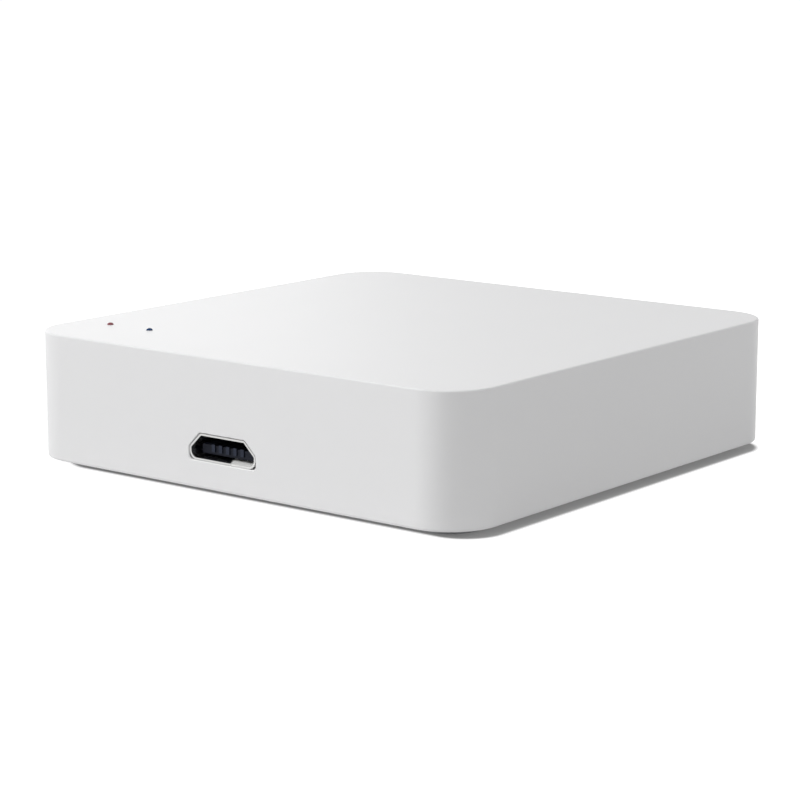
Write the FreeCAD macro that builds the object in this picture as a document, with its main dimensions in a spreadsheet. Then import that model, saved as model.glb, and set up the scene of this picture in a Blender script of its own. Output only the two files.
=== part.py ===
import FreeCAD, Part
import math
import os

import Sketcher

# A small square gateway hub for a smart home. The white shell snaps over a grey base plate,
# which carries the circuit board with its power socket, radio modules, lights and reset switch.
# Frame: origin at the middle of the underside, +Z up, the power socket in the wall that faces -Y,
# the reset button in the wall that faces +Y. Lengths are in millimetres.

Vector = FreeCAD.Vector
doc = FreeCAD.newDocument("home_gateway")


# Driving dimensions: alias, value, meaning
SIZES = [
    ("hub_side", 60.0, "outer width and depth of the square shell"),
    ("corner_radius", 5.6, "upright corners of the shell"),
    ("shell_height", 14.0, "shell from its rim to its top"),
    ("base_strip", 1.0, "height of the bare strip below the shell's rim"),
    ("wall", 1.6, "side walls of the shell"),
    ("roof", 1.6, "top of the shell"),
    ("top_edge_round", 0.2, "outer round along the top edge"),
    ("rim_edge_bevel", 0.2, "outer bevel along the bottom rim"),
    ("rim_lead_in", 0.3, "inner chamfer of the rim that guides the base in"),
    ("base_gap", 0.15, "clearance from the base plate's edge to the wall"),
    ("base_floor", 1.5, "thickness of the base plate"),
    ("base_bevel", 0.3, "bevel along the base plate's lower edge"),
    ("seat_gap", 0.05, "clearance from the stop ribs to the base plate"),
    ("stop_rib_width", 1.2, "rib that stops the shell on the base"),
    ("stop_rib_depth", 0.5, "rib's depth from the wall"),
    ("stop_rib_offset", 9.0, "rib's distance from the middle of its wall"),
    ("hook_offset", 17.0, "snap hook's distance from the middle of its wall"),
    ("hook_width", 6.0, "snap hook along the wall"),
    ("hook_thickness", 1.2, "snap hook across the wall"),
    ("hook_height", 5.7, "snap hook above the base plate"),
    ("hook_root", 0.6, "gusset at the foot of a hook"),
    ("barb_depth", 0.5, "how far the barb stands out of the hook"),
    ("barb_height", 1.9, "barb from its catch face to the hook's top"),
    ("barb_land", 0.4, "flat tip of the barb"),
    ("catch_gap", 0.1, "clearance below the barb in its pocket"),
    ("catch_room", 0.3, "clearance above the barb in its pocket"),
    ("pocket_gap", 0.1, "clearance past the barb's tip in its pocket"),
    ("pocket_side_gap", 0.4, "clearance beside the barb in its pocket"),
    ("foot_diameter", 8.0, "rubber foot"),
    ("foot_thickness", 0.8, "rubber foot"),
    ("foot_recess", 0.5, "depth of the recess that holds a foot"),
    ("foot_gap", 0.1, "clearance round a foot in its recess"),
    ("foot_inset", 9.5, "foot's axis from the outer faces"),
    ("underside_panel_width", 30.0, "plain sunk panel in the underside"),
    ("underside_panel_depth", 20.0, "plain sunk panel in the underside"),
    ("underside_panel_round", 1.5, "corners of the sunk panel"),
    ("underside_panel_sink", 0.2, "how deep the panel is sunk"),
    ("board_gap", 0.1, "clearance from the board's edge to the stop ribs"),
    ("board_thickness", 1.2, "circuit board"),
    ("board_standoff", 1.05, "board's underside above the base plate"),
    ("board_hook_gap", 0.3, "clearance round a hook in its board notch"),
    ("boss_diameter", 4.6, "screw boss"),
    ("screw_inset", 3.4, "screw axis from the board's edge"),
    ("screw_shank", 1.9, "self-tapping screw's shank"),
    ("screw_length", 3.1, "screw under its head"),
    ("screw_head", 3.8, "screw's pan head"),
    ("screw_head_height", 1.3, "screw's pan head"),
    ("screw_head_bevel", 0.5, "bevelled crown of the pan head"),
    ("pilot_gap", 0.05, "clearance round the shank in its boss"),
    ("pilot_tip_gap", 0.15, "clearance below the screw's end"),
    ("board_hole_gap", 0.15, "clearance round the shank in the board"),
    ("post_side", 2.4, "square rest post under the board"),
    ("post_inset", 4.3, "rest post from the board's edges"),
    ("socket_offset", -0.85, "middle of the power socket along the front wall"),
    ("mouth_low_round", 0.95, "lower corners of the mouth"),
    ("mouth_shoulder_round", 0.4, "shoulders of the mouth"),
    ("mouth_top_round", 0.3, "upper corners of the mouth"),
    ("shoulder_drop", 0.05, "shoulders below the socket's middle"),
    ("tube_width", 8.9, "socket's tube behind the flare, lower side"),
    ("tube_top_width", 5.9, "socket's tube behind the flare, upper side"),
    ("tube_height", 2.65, "socket's tube behind the flare"),
    ("tube_low_round", 0.9, "lower corners of the tube"),
    ("socket_sheet", 0.2, "steel sheet of the socket"),
    ("socket_recess", 0.1, "mouth behind the front wall's face"),
    ("socket_flare", 0.9, "length of the flare"),
    ("flare_spread", 0.2, "mouth wider and higher than the tube behind it"),
    ("socket_depth", 5.6, "whole length of the socket"),
    ("socket_wall_gap", 0.05, "clearance round the mouth in the wall"),
    ("socket_cut_round", 0.45, "lower corners of the cut-out in the wall"),
    ("socket_bevel", 0.1, "bevel round the cut-out in the wall"),
    ("leg_length", 1.2, "socket's leg along the tube"),
    ("leg_pitch", 2.2, "front leg to back leg"),
    ("leg_back_inset", 0.5, "back leg from the socket's back"),
    ("leg_tip", 0.2, "legs below the board"),
    ("leg_gap", 0.2, "clearance round a leg in its slot"),
    ("insulator_gap", 0.03, "clearance of the insulator in the tube"),
    ("insulator_block", 1.3, "length of the insulator's rear block"),
    ("tongue_width", 7.2, "contact tongue"),
    ("tongue_thickness", 0.95, "contact tongue"),
    ("tongue_height", 0.3, "tongue's underside above the tube's floor"),
    ("tongue_inset", 0.95, "tongue's tip behind the mouth"),
    ("contact_pitch", 1.0, "contact to contact"),
    ("contact_width", 0.45, "one contact"),
    ("contact_sheet", 0.12, "one contact"),
    ("contact_hook", 0.7, "contact's end bent down over the tongue's tip"),
    ("contact_tail", 0.9, "soldered tail behind the socket"),
    ("contact_room", 0.15, "clearance round the contacts in the block"),
    ("button_diameter", 4.0, "reset button's head"),
    ("button_hole_gap", 0.15, "clearance round the button in the wall"),
    ("button_hole_bevel", 0.2, "bevel round the button's hole"),
    ("button_bevel", 0.3, "bevel along the button's face"),
    ("button_flange", 5.6, "square flange that keeps the button in"),
    ("flange_thickness", 0.8, "button's flange"),
    ("flange_gap", 0.1, "clearance from the flange to the wall"),
    ("stem_diameter", 2.4, "button's stem"),
    ("stem_length", 1.1, "button's stem"),
    ("guide_thickness", 0.8, "guide rib beside the button"),
    ("guide_depth", 1.2, "guide rib from the wall"),
    ("guide_gap", 0.15, "clearance from a guide rib to the flange"),
    ("guide_rise", 0.3, "guide rib above the flange"),
    ("button_notch_gap", 1.2, "clearance beside the flange in the board's notch"),
    ("switch_width", 6.0, "side-push switch"),
    ("switch_depth", 3.5, "side-push switch"),
    ("switch_height", 3.5, "side-push switch"),
    ("switch_sheet", 0.2, "steel cover of the switch"),
    ("plunger_diameter", 2.0, "switch plunger"),
    ("plunger_reach", 0.8, "plunger outside its cover"),
    ("plunger_inside", 1.4, "plunger inside the switch"),
    ("plunger_gap", 0.15, "clearance round the plunger"),
    ("plunger_room", 0.6, "clearance behind the plunger"),
    ("light_side_inset", 5.0, "first light from the left face"),
    ("light_front_inset", 8.45, "lights from the front face"),
    ("light_pitch", 6.0, "light to light"),
    ("pipe_diameter", 2.2, "light pipe inside the hub"),
    ("pipe_gap", 0.05, "clearance round a light pipe in its collar"),
    ("tip_diameter", 0.7, "light pipe's tip in the roof"),
    ("tip_gap", 0.05, "clearance round the tip in its hole"),
    ("tip_proud", 0.24, "tip above the roof"),
    ("tip_bevel", 0.15, "bevelled crown of the tip"),
    ("collar_wall", 0.5, "collar under the roof that holds a light pipe"),
    ("collar_depth", 3.0, "collar's height"),
    ("led_gap", 0.3, "light pipe above its diode"),
    ("led_length", 2.0, "light diode"),
    ("led_width", 1.25, "light diode"),
    ("led_height", 0.8, "light diode"),
    ("led_lens", 1.1, "clear top of a light diode"),
    ("led_lens_height", 0.35, "clear top of a light diode"),
    ("module_width", 15.0, "radio module's board"),
    ("module_length", 24.0, "radio module's board"),
    ("module_thickness", 0.8, "radio module's board"),
    ("module_offset", 11.6, "module's middle from the hub's middle"),
    ("module_inset", 2.8, "module's back edge from the board's edge"),
    ("edge_notch_depth", 0.45, "solder notch in a module's edge"),
    ("edge_notch_width", 0.9, "solder notch in a module's edge"),
    ("edge_notch_pitch", 2.0, "solder notch to solder notch"),
    ("edge_notch_inset", 2.0, "first solder notch from the module's front edge"),
    ("shield_width", 12.2, "radio shield can"),
    ("shield_length", 14.6, "radio shield can"),
    ("shield_height", 2.2, "radio shield can"),
    ("shield_sheet", 0.2, "sheet of the shield can"),
    ("shield_bevel", 0.25, "folded edges of the shield can"),
    ("shield_inset", 1.2, "shield can from the module's front edge"),
    ("antenna_trace", 0.5, "width of the antenna's track"),
    ("antenna_rise", 4.2, "height of the antenna's zigzag"),
    ("antenna_pitch", 2.0, "one turn of the antenna's zigzag"),
    ("antenna_foil", 0.1, "thickness of the antenna's track"),
    ("antenna_inset", 1.4, "antenna from the module's side and back edges"),
    ("can_diameter", 4.0, "storage can"),
    ("can_height", 5.2, "storage can above its base"),
    ("can_base_side", 4.3, "storage can's plastic base"),
    ("can_base_height", 0.6, "storage can's plastic base"),
    ("can_crown", 0.25, "bevelled crown of a can"),
    ("can_offset", 14.2, "cans from the hub's middle"),
    ("can_inset", 8.6, "front can from the board's front edge"),
    ("can_pitch", 5.8, "can to can"),
    ("regulator_width", 6.5, "voltage regulator"),
    ("regulator_depth", 3.5, "voltage regulator"),
    ("regulator_height", 1.6, "voltage regulator"),
    ("regulator_offset", 7.0, "regulator from the hub's middle"),
    ("regulator_inset", 15.8, "regulator from the board's front edge"),
    ("lead_sheet", 0.25, "regulator's leads"),
    ("lead_reach", 1.7, "regulator's leads past its body"),
    ("lead_foot", 0.9, "soldered foot of a lead"),
    ("lead_width", 0.7, "one lead"),
    ("lead_pitch", 2.3, "lead to lead"),
    ("tab_width", 3.0, "regulator's wide lead"),
    ("coil_side", 4.0, "power coil"),
    ("coil_height", 2.0, "power coil"),
    ("coil_offset", -7.5, "coil from the hub's middle"),
    ("diode_width", 4.3, "surge diode"),
    ("diode_depth", 2.6, "surge diode"),
    ("diode_height", 2.2, "surge diode"),
    ("diode_offset", 6.0, "surge diode from the hub's middle"),
    ("fuse_width", 3.2, "fuse"),
    ("fuse_depth", 1.6, "fuse"),
    ("fuse_height", 0.7, "fuse"),
    ("fuse_offset", -8.2, "fuse from the hub's middle"),
    ("input_inset", 6.4, "fuse and surge diode from the board's front edge"),
    ("chip_length", 1.6, "small chip part"),
    ("chip_width", 0.8, "small chip part"),
    ("chip_height", 0.5, "small chip part"),
    ("chip_pitch", 2.4, "chip part to chip part"),
]

sheet = doc.addObject("Spreadsheet::Sheet", "Sizes")
for row, (alias, value, meaning) in enumerate(SIZES, start=1):
    sheet.set(f"A{row}", meaning)
    sheet.set(f"B{row}", str(value))
    sheet.setAlias(f"B{row}", alias)
doc.recompute()


class Length:
    """A length that keeps its number together with the sheet expression that it comes from."""

    def __init__(self, value, text):
        self.value = value
        self.text = text

    def __add__(self, other):
        return Length(self.value + number(other), f"({self.text} + {words(other)})")

    __radd__ = __add__

    def __sub__(self, other):
        return Length(self.value - number(other), f"({self.text} - {words(other)})")

    def __mul__(self, other):
        return Length(self.value * number(other), f"({self.text} * {words(other)})")

    def __truediv__(self, other):
        return Length(self.value / number(other), f"({self.text} / {words(other)})")

    def __neg__(self):
        return Length(-self.value, f"(0 - {self.text})")


def number(size):
    return size.value if isinstance(size, Length) else float(size)


def words(size):
    return size.text if isinstance(size, Length) else str(size)


def cell(alias):
    return Length(float(sheet.get(alias)), f"Sizes.{alias}")


def bind(thing, prop, size):
    thing.setExpression(prop, words(size))


def place(thing, x, y, z):
    bind(thing, "Placement.Base.x", x)
    bind(thing, "Placement.Base.y", y)
    bind(thing, "Placement.Base.z", z)
    return thing


# Levels and outlines that several pieces share
half_side = cell("hub_side") / 2
inner_half = half_side - cell("wall")
inner_radius = cell("corner_radius") - cell("wall")
rim_level = cell("base_strip")
top_level = rim_level + cell("shell_height")
ceiling = top_level - cell("roof")
base_level = cell("foot_thickness") - cell("foot_recess")
floor_top = base_level + cell("base_floor")
base_half = inner_half - cell("base_gap")
base_radius = inner_radius - cell("base_gap")
board_level = floor_top + cell("board_standoff")
board_top = board_level + cell("board_thickness")
board_half = inner_half - cell("stop_rib_depth") - cell("board_gap")
board_radius = inner_radius - cell("stop_rib_depth") - cell("board_gap")
hook_top = floor_top + cell("hook_height")
catch_level = hook_top - cell("barb_height")
foot_place = half_side - cell("foot_inset")
screw_place = board_half - cell("screw_inset")
SCREWS = {
    "left": (-screw_place, 0),
    "right": (screw_place, 0),
}
socket_level = board_top + cell("tube_height") / 2
TUBE = (cell("tube_width"), cell("tube_top_width"), cell("tube_height"))
MOUTH = tuple(size + cell("flare_spread") for size in TUBE)
mouth_face = half_side - cell("socket_recess")
socket_back = mouth_face - cell("socket_depth")
leg_rear = socket_back + cell("leg_back_inset")
button_level = board_top + cell("switch_height") / 2
flange_face = inner_half - cell("flange_gap")
flange_back = flange_face - cell("flange_thickness")
stem_end = flange_back - cell("stem_length")
switch_face = stem_end - cell("plunger_reach")
light_row = cell("light_front_inset") - half_side
LIGHTS = {
    "red": cell("light_side_inset") - half_side,
    "blue": cell("light_side_inset") + cell("light_pitch") - half_side,
}
pipe_foot = board_top + cell("led_height") + cell("led_gap")
module_back = board_half - cell("module_inset")
module_front = module_back - cell("module_length")
module_top = board_top + cell("module_thickness")


# Sketches and features

def new_body(label):
    body = doc.addObject("PartDesign::Body", label)
    body.Label = label
    return body


def origin_feature(body, role):
    return next(feature for feature in body.Origin.OriginFeatures if feature.Role == role)


def sketch_on(body, name, role, offset=0):
    """An empty sketch on one of the body's own planes, moved along that plane's normal."""
    sketch = body.newObject("Sketcher::SketchObject", name)
    sketch.AttachmentSupport = [(origin_feature(body, role), "")]
    sketch.MapMode = "FlatFace"
    bind(sketch, "AttachmentOffset.Base.z", offset)
    return sketch


def fix_point(sketch, geometry, position, x, y):
    for kind, size in (("DistanceX", x), ("DistanceY", y)):
        index = sketch.addConstraint(Sketcher.Constraint(kind, -1, 1, geometry, position, number(size)))
        bind(sketch, f"Constraints[{index}]", size)


def add_circle(sketch, x, y, diameter):
    centre = Vector(number(x), number(y), 0)
    ring = sketch.addGeometry(Part.Circle(centre, Vector(0, 0, 1), number(diameter) / 2), False)
    fix_point(sketch, ring, 3, x, y)
    index = sketch.addConstraint(Sketcher.Constraint("Diameter", ring, number(diameter)))
    bind(sketch, f"Constraints[{index}]", diameter)


def corner_arc(before, here, after, radius):
    """The tangent points and the arc that round one corner of an outline."""
    along = (here - before).normalize()
    onward = (after - here).normalize()
    turn = math.atan2(along.x * onward.y - along.y * onward.x, along.dot(onward))
    reach = radius * math.tan(abs(turn) / 2)
    start = here - along * reach
    end = here + onward * reach
    side = math.copysign(1, turn)
    centre = start + Vector(-along.y, along.x, 0) * (side * radius)
    first = math.atan2(start.y - centre.y, start.x - centre.x)
    circle = Part.Circle(centre, Vector(0, 0, 1), radius)
    if side > 0:
        return start, end, Part.ArcOfCircle(circle, first, first + turn), 1
    return start, end, Part.ArcOfCircle(circle, first + turn, first), 2


def add_outline(sketch, corners):
    """A closed loop of lines through corners (x, y, round), each corner sharp where round is 0."""
    points = [Vector(number(x), number(y), 0) for x, y, _ in corners]
    count = len(points)
    rounds = []
    for index, (x, y, radius) in enumerate(corners):
        if number(radius) > 0:
            rounds.append(corner_arc(points[index - 1], points[index], points[(index + 1) % count],
                                     number(radius)))
        else:
            rounds.append((points[index], points[index], None, 1))
    lines = []
    for index in range(count):
        start = rounds[index][1]
        end = rounds[(index + 1) % count][0]
        lines.append(sketch.addGeometry(Part.LineSegment(start, end), False))
    for index, (x, y, radius) in enumerate(corners):
        before = lines[index - 1]
        after = lines[index]
        start, end, arc, first = rounds[index]
        if arc is None:
            sketch.addConstraint(Sketcher.Constraint("Coincident", before, 2, after, 1))
            fix_point(sketch, after, 1, x, y)
            continue
        bend = sketch.addGeometry(arc, False)
        corner = sketch.addGeometry(Part.Point(points[index]), True)
        sketch.addConstraint(Sketcher.Constraint("Tangent", before, 2, bend, first))
        sketch.addConstraint(Sketcher.Constraint("Tangent", bend, 3 - first, after, 1))
        sketch.addConstraint(Sketcher.Constraint("PointOnObject", corner, 1, before))
        sketch.addConstraint(Sketcher.Constraint("PointOnObject", corner, 1, after))
        fix_point(sketch, corner, 1, x, y)
        place_of_radius = sketch.addConstraint(Sketcher.Constraint("Radius", bend, number(radius)))
        bind(sketch, f"Constraints[{place_of_radius}]", radius)


def add_box(sketch, low_x, low_y, high_x, high_y, radius=0):
    add_outline(sketch, [(low_x, low_y, radius), (high_x, low_y, radius),
                         (high_x, high_y, radius), (low_x, high_y, radius)])


def add_square(sketch, half, radius):
    add_box(sketch, -half, -half, half, half, radius)


def swept(body, kind, name, sketch, length, backwards=False, centred=False):
    feature = body.newObject(kind, name)
    feature.Profile = sketch
    feature.Reversed = backwards
    if centred:
        feature.SideType = "Symmetric"
    bind(feature, "Length", length)
    body.Tip = feature
    return feature


def pad(body, name, sketch, length, backwards=False, centred=False):
    return swept(body, "PartDesign::Pad", name, sketch, length, backwards, centred)


def pocket(body, name, sketch, length, backwards=False, centred=False):
    return swept(body, "PartDesign::Pocket", name, sketch, length, backwards, centred)


def pocket_up(body, name, sketch, length):
    return pocket(body, name, sketch, length, backwards=True)


def revolve(body, name, sketch):
    feature = body.newObject("PartDesign::Revolution", name)
    feature.Profile = sketch
    feature.ReferenceAxis = (sketch, ["V_Axis"])
    feature.Angle = 360
    body.Tip = feature
    return feature


def four_walls(body, name, features):
    """Repeat features of one wall on all four walls."""
    pattern = body.newObject("PartDesign::PolarPattern", name)
    pattern.Originals = features
    pattern.Axis = (origin_feature(body, "Z_Axis"), [""])
    pattern.Angle = 360
    pattern.Occurrences = 4
    body.Tip = pattern
    return pattern


def in_a_row(body, name, features, axis, pitch, count):
    pattern = body.newObject("PartDesign::LinearPattern", name)
    pattern.Originals = features
    pattern.Direction = (origin_feature(body, axis), [""])
    pattern.Mode = "Spacing"
    pattern.Occurrences = count
    bind(pattern, "Offset", pitch)
    body.Tip = pattern
    return pattern


def edges_where(feature, test):
    """Names of the feature's edges whose bounding box passes the test."""
    doc.recompute()
    return [f"Edge{number}" for number, edge in enumerate(feature.Shape.Edges, start=1)
            if test(edge.BoundBox)]


def near(first, second):
    return abs(first - second) < 1e-4


def near_any(value, others):
    return any(near(value, other) for other in others)


def level_with(height):
    """A test for edges that lie flat at a height."""
    return lambda box: near(box.ZMin, number(height)) and near(box.ZMax, number(height))


def fillet(body, name, feature, test, radius):
    rounded = body.newObject("PartDesign::Fillet", name)
    rounded.Base = (feature, edges_where(feature, test))
    bind(rounded, "Radius", radius)
    body.Tip = rounded
    return rounded


def chamfer(body, name, feature, test, size):
    bevelled = body.newObject("PartDesign::Chamfer", name)
    bevelled.Base = (feature, edges_where(feature, test))
    bind(bevelled, "Size", size)
    body.Tip = bevelled
    return bevelled


def mouth_outline(sketch, width, top_width, height, low_round, grow=0):
    """The socket's outline: narrow above, shoulders half way down, wide round corners below."""
    middle = cell("socket_offset")
    half = width / 2 + grow
    top_half = top_width / 2 + grow
    top = socket_level + height / 2 + grow
    bottom = socket_level - height / 2 - grow
    shoulder = socket_level - cell("shoulder_drop") + grow / 2
    add_outline(sketch, [
        (middle - half, bottom, low_round),
        (middle + half, bottom, low_round),
        (middle + half, shoulder, cell("mouth_shoulder_round")),
        (middle + top_half, top, cell("mouth_top_round")),
        (middle - top_half, top, cell("mouth_top_round")),
        (middle - half, shoulder, cell("mouth_shoulder_round")),
    ])


# Top shell: one white moulding, open below

def top_shell():
    body = new_body("top_shell")
    outline = sketch_on(body, "shell_outline", "XY_Plane", rim_level)
    add_square(outline, half_side, cell("corner_radius"))
    block = pad(body, "shell_block", outline, cell("shell_height"))
    top_edge = fillet(body, "top_edge", block, level_with(top_level), cell("top_edge_round"))
    chamfer(body, "rim_edge", top_edge, level_with(rim_level), cell("rim_edge_bevel"))

    hollow_outline = sketch_on(body, "hollow_outline", "XY_Plane", rim_level)
    add_square(hollow_outline, inner_half, inner_radius)
    hollow = pocket_up(body, "hollow", hollow_outline, cell("shell_height") - cell("roof"))
    reach = number(inner_half) + 1e-3
    at_rim = level_with(rim_level)
    chamfer(body, "lead_in", hollow,
            lambda box: at_rim(box) and max(box.XMax, box.YMax, -box.XMin, -box.YMin) < reach,
            cell("rim_lead_in"))

    # Stop ribs that rest on the base plate and steady the board
    rib_level = floor_top + cell("seat_gap")
    rib_sketch = sketch_on(body, "stop_rib_outline", "XY_Plane", rib_level)
    for side in (-1, 1):
        middle = cell("stop_rib_offset") * side
        half = cell("stop_rib_width") / 2
        add_box(rib_sketch, middle - half, inner_half - cell("stop_rib_depth"),
                middle + half, inner_half + cell("wall") / 2)
    ribs = pad(body, "stop_ribs", rib_sketch, ceiling - rib_level)
    four_walls(body, "stop_ribs_all_round", [ribs])

    # Pockets that catch the barbs of the base plate's hooks
    pocket_level = catch_level - cell("catch_gap")
    catch_sketch = sketch_on(body, "catch_outline", "XY_Plane", pocket_level)
    for side in (-1, 1):
        middle = cell("hook_offset") * side
        half = cell("hook_width") / 2 + cell("pocket_side_gap")
        add_box(catch_sketch, middle - half, inner_half - cell("stop_rib_depth"),
                middle + half, base_half + cell("barb_depth") + cell("pocket_gap"))
    catches = pocket_up(body, "catch_pockets", catch_sketch, hook_top + cell("catch_room") - pocket_level)
    four_walls(body, "catch_pockets_all_round", [catches])

    # Collars and holes for the two light pipes
    collar_level = ceiling - cell("collar_depth")
    bore = cell("pipe_diameter") + cell("pipe_gap") * 2
    collar_sketch = sketch_on(body, "light_collar_outline", "XY_Plane", collar_level)
    bore_sketch = sketch_on(body, "light_bore_outline", "XY_Plane", collar_level)
    hole_sketch = sketch_on(body, "light_hole_outline", "XY_Plane", ceiling)
    for x in LIGHTS.values():
        add_circle(collar_sketch, x, light_row, bore + cell("collar_wall") * 2)
        add_circle(bore_sketch, x, light_row, bore)
        add_circle(hole_sketch, x, light_row, cell("tip_diameter") + cell("tip_gap") * 2)
    pad(body, "light_collars", collar_sketch, cell("collar_depth") + cell("roof") / 2)
    pocket_up(body, "light_bores", bore_sketch, cell("collar_depth"))
    pocket_up(body, "light_holes", hole_sketch, cell("roof") * 2)

    # Cut-out for the socket, with a fine bevel at the outer face
    socket_sketch = sketch_on(body, "socket_cut_outline", "XZ_Plane", half_side)
    mouth_outline(socket_sketch, *MOUTH, cell("socket_cut_round"), cell("socket_wall_gap"))
    socket_cut = pocket(body, "socket_cut", socket_sketch, cell("wall") * 2)
    front = -number(half_side)
    low = number(rim_level) + number(cell("rim_edge_bevel")) + 1e-3
    high = number(top_level) - number(cell("top_edge_round")) - 1e-3
    chamfer(body, "socket_cut_bevel", socket_cut,
            lambda box: near(box.YMin, front) and near(box.YMax, front) and box.ZMin > low
            and box.ZMax < high and box.XLength < number(MOUTH[0]),
            cell("socket_bevel"))

    # Guide ribs beside the reset button, and its hole
    guide_top = button_level + cell("button_flange") / 2 + cell("guide_rise")
    guide_sketch = sketch_on(body, "guide_outline", "XY_Plane", rib_level)
    near_side = cell("button_flange") / 2 + cell("guide_gap")
    for side in (-1, 1):
        start = near_side * side
        end = (near_side + cell("guide_thickness")) * side
        low_x, high_x = (start, end) if side > 0 else (end, start)
        add_box(guide_sketch, low_x, inner_half - cell("guide_depth"), high_x, inner_half + cell("wall") / 2)
    pad(body, "button_guides", guide_sketch, guide_top - rib_level)
    button_sketch = sketch_on(body, "button_hole_outline", "XZ_Plane", -half_side)
    hole = cell("button_diameter") + cell("button_hole_gap") * 2
    add_circle(button_sketch, 0, button_level, hole)
    button_hole = pocket(body, "button_hole", button_sketch, cell("wall") * 1.5, backwards=True)
    back = number(half_side)
    chamfer(body, "button_hole_bevel", button_hole,
            lambda box: near(box.YMin, back) and near(box.YMax, back) and near(box.XLength, number(hole)),
            cell("button_hole_bevel"))
    return body


# Base plate: grey moulding with the hooks, bosses and posts

def base_plate():
    body = new_body("base_plate")
    outline = sketch_on(body, "base_outline", "XY_Plane", base_level)
    add_square(outline, base_half, base_radius)
    plate = pad(body, "base_floor", outline, cell("base_floor"))
    chamfer(body, "base_lower_edge", plate, level_with(base_level), cell("base_bevel"))

    # Snap hooks: the barb's flat side catches below, its slope leads in from above
    root = floor_top - cell("base_floor") / 4
    inner_face = base_half - cell("hook_thickness")
    tip = base_half + cell("barb_depth")
    hooks = []
    for name, side in (("left", -1), ("right", 1)):
        profile = sketch_on(body, f"hook_profile_{name}", "YZ_Plane", cell("hook_offset") * side)
        add_outline(profile, [
            (inner_face - cell("hook_root"), root, 0),
            (base_half, root, 0),
            (base_half, catch_level, 0),
            (tip, catch_level, 0),
            (tip, catch_level + cell("barb_land"), 0),
            (base_half - cell("hook_thickness") / 4, hook_top, 0),
            (inner_face, hook_top, 0),
            (inner_face, floor_top + cell("hook_root"), 0),
            (inner_face - cell("hook_root"), floor_top, 0),
        ])
        hooks.append(pad(body, f"hook_{name}", profile, cell("hook_width"), centred=True))
    four_walls(body, "hooks_all_round", hooks)

    # Bosses with blind pilot holes, and plain posts under the board
    boss_sketch = sketch_on(body, "boss_outline", "XY_Plane", root)
    pilot_level = board_top - cell("screw_length") - cell("pilot_tip_gap")
    pilot_sketch = sketch_on(body, "pilot_outline", "XY_Plane", pilot_level)
    for x, y in SCREWS.values():
        add_circle(boss_sketch, x, y, cell("boss_diameter"))
        add_circle(pilot_sketch, x, y, cell("screw_shank") + cell("pilot_gap") * 2)
    post = board_half - cell("post_inset")
    half = cell("post_side") / 2
    for x, y in ((-post, post), (post, post), (-post, -post), (post, -post), (cell("socket_offset"), -post),
                 (0, post - cell("post_side"))):
        add_box(boss_sketch, -half + x, -half + y, half + x, half + y)
    pad(body, "bosses_and_posts", boss_sketch, board_level - root)
    pocket_up(body, "pilot_holes", pilot_sketch, board_level - pilot_level + cell("seat_gap"))

    # Recesses for the feet and a plain sunk panel in the underside
    foot_sketch = sketch_on(body, "foot_recess_outline", "XY_Plane", base_level)
    for side_x in (-1, 1):
        for side_y in (-1, 1):
            add_circle(foot_sketch, foot_place * side_x, foot_place * side_y,
                       cell("foot_diameter") + cell("foot_gap") * 2)
    pocket_up(body, "foot_recesses", foot_sketch, cell("foot_recess"))
    panel_sketch = sketch_on(body, "underside_panel_outline", "XY_Plane", base_level)
    half_width = cell("underside_panel_width") / 2
    half_depth = cell("underside_panel_depth") / 2
    add_box(panel_sketch, -half_width, -half_depth, half_width, half_depth, cell("underside_panel_round"))
    pocket_up(body, "underside_panel", panel_sketch, cell("underside_panel_sink"))
    return body


def foot(name, side_x, side_y):
    """A round rubber foot, glued into its recess."""
    body = new_body(name)
    outline = sketch_on(body, "foot_outline", "XY_Plane")
    add_circle(outline, 0, 0, cell("foot_diameter"))
    pad(body, "foot_disc", outline, cell("foot_thickness"))
    return place(body, foot_place * side_x, foot_place * side_y, 0)


# Circuit board with notches for the hooks and for the reset button

def circuit_board():
    body = new_body("circuit_board")
    outline = sketch_on(body, "board_outline", "XY_Plane", board_level)
    add_square(outline, board_half, board_radius)
    pad(body, "board_sheet", outline, cell("board_thickness"))

    notch_sketch = sketch_on(body, "hook_notch_outline", "XY_Plane", board_level)
    notch_floor = base_half - cell("hook_thickness") - cell("board_hook_gap")
    for side in (-1, 1):
        middle = cell("hook_offset") * side
        half = cell("hook_width") / 2 + cell("board_hook_gap")
        add_box(notch_sketch, middle - half, notch_floor, middle + half, half_side)
    notches = pocket_up(body, "hook_notches", notch_sketch, cell("board_thickness"))
    four_walls(body, "hook_notches_all_round", [notches])

    cut_sketch = sketch_on(body, "board_cut_outline", "XY_Plane", board_level)
    half = cell("button_flange") / 2 + cell("button_notch_gap")
    add_box(cut_sketch, -half, switch_face, half, half_side)
    for x, y in SCREWS.values():
        add_circle(cut_sketch, x, y, cell("screw_shank") + cell("board_hole_gap") * 2)
    leg_x = cell("tube_width") / 2
    for side in (-1, 1):
        inner = (leg_x - cell("socket_sheet") - cell("leg_gap")) * side
        outer = (leg_x + cell("leg_gap")) * side
        low_x, high_x = (inner, outer) if side > 0 else (outer, inner)
        for row in (0, 1):
            rear = cell("leg_pitch") * -row - leg_rear
            add_box(cut_sketch, cell("socket_offset") + low_x, rear - cell("leg_length") - cell("leg_gap"),
                    cell("socket_offset") + high_x, rear + cell("leg_gap"))
    pocket_up(body, "holes_and_slots", cut_sketch, cell("board_thickness"))
    return body


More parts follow.
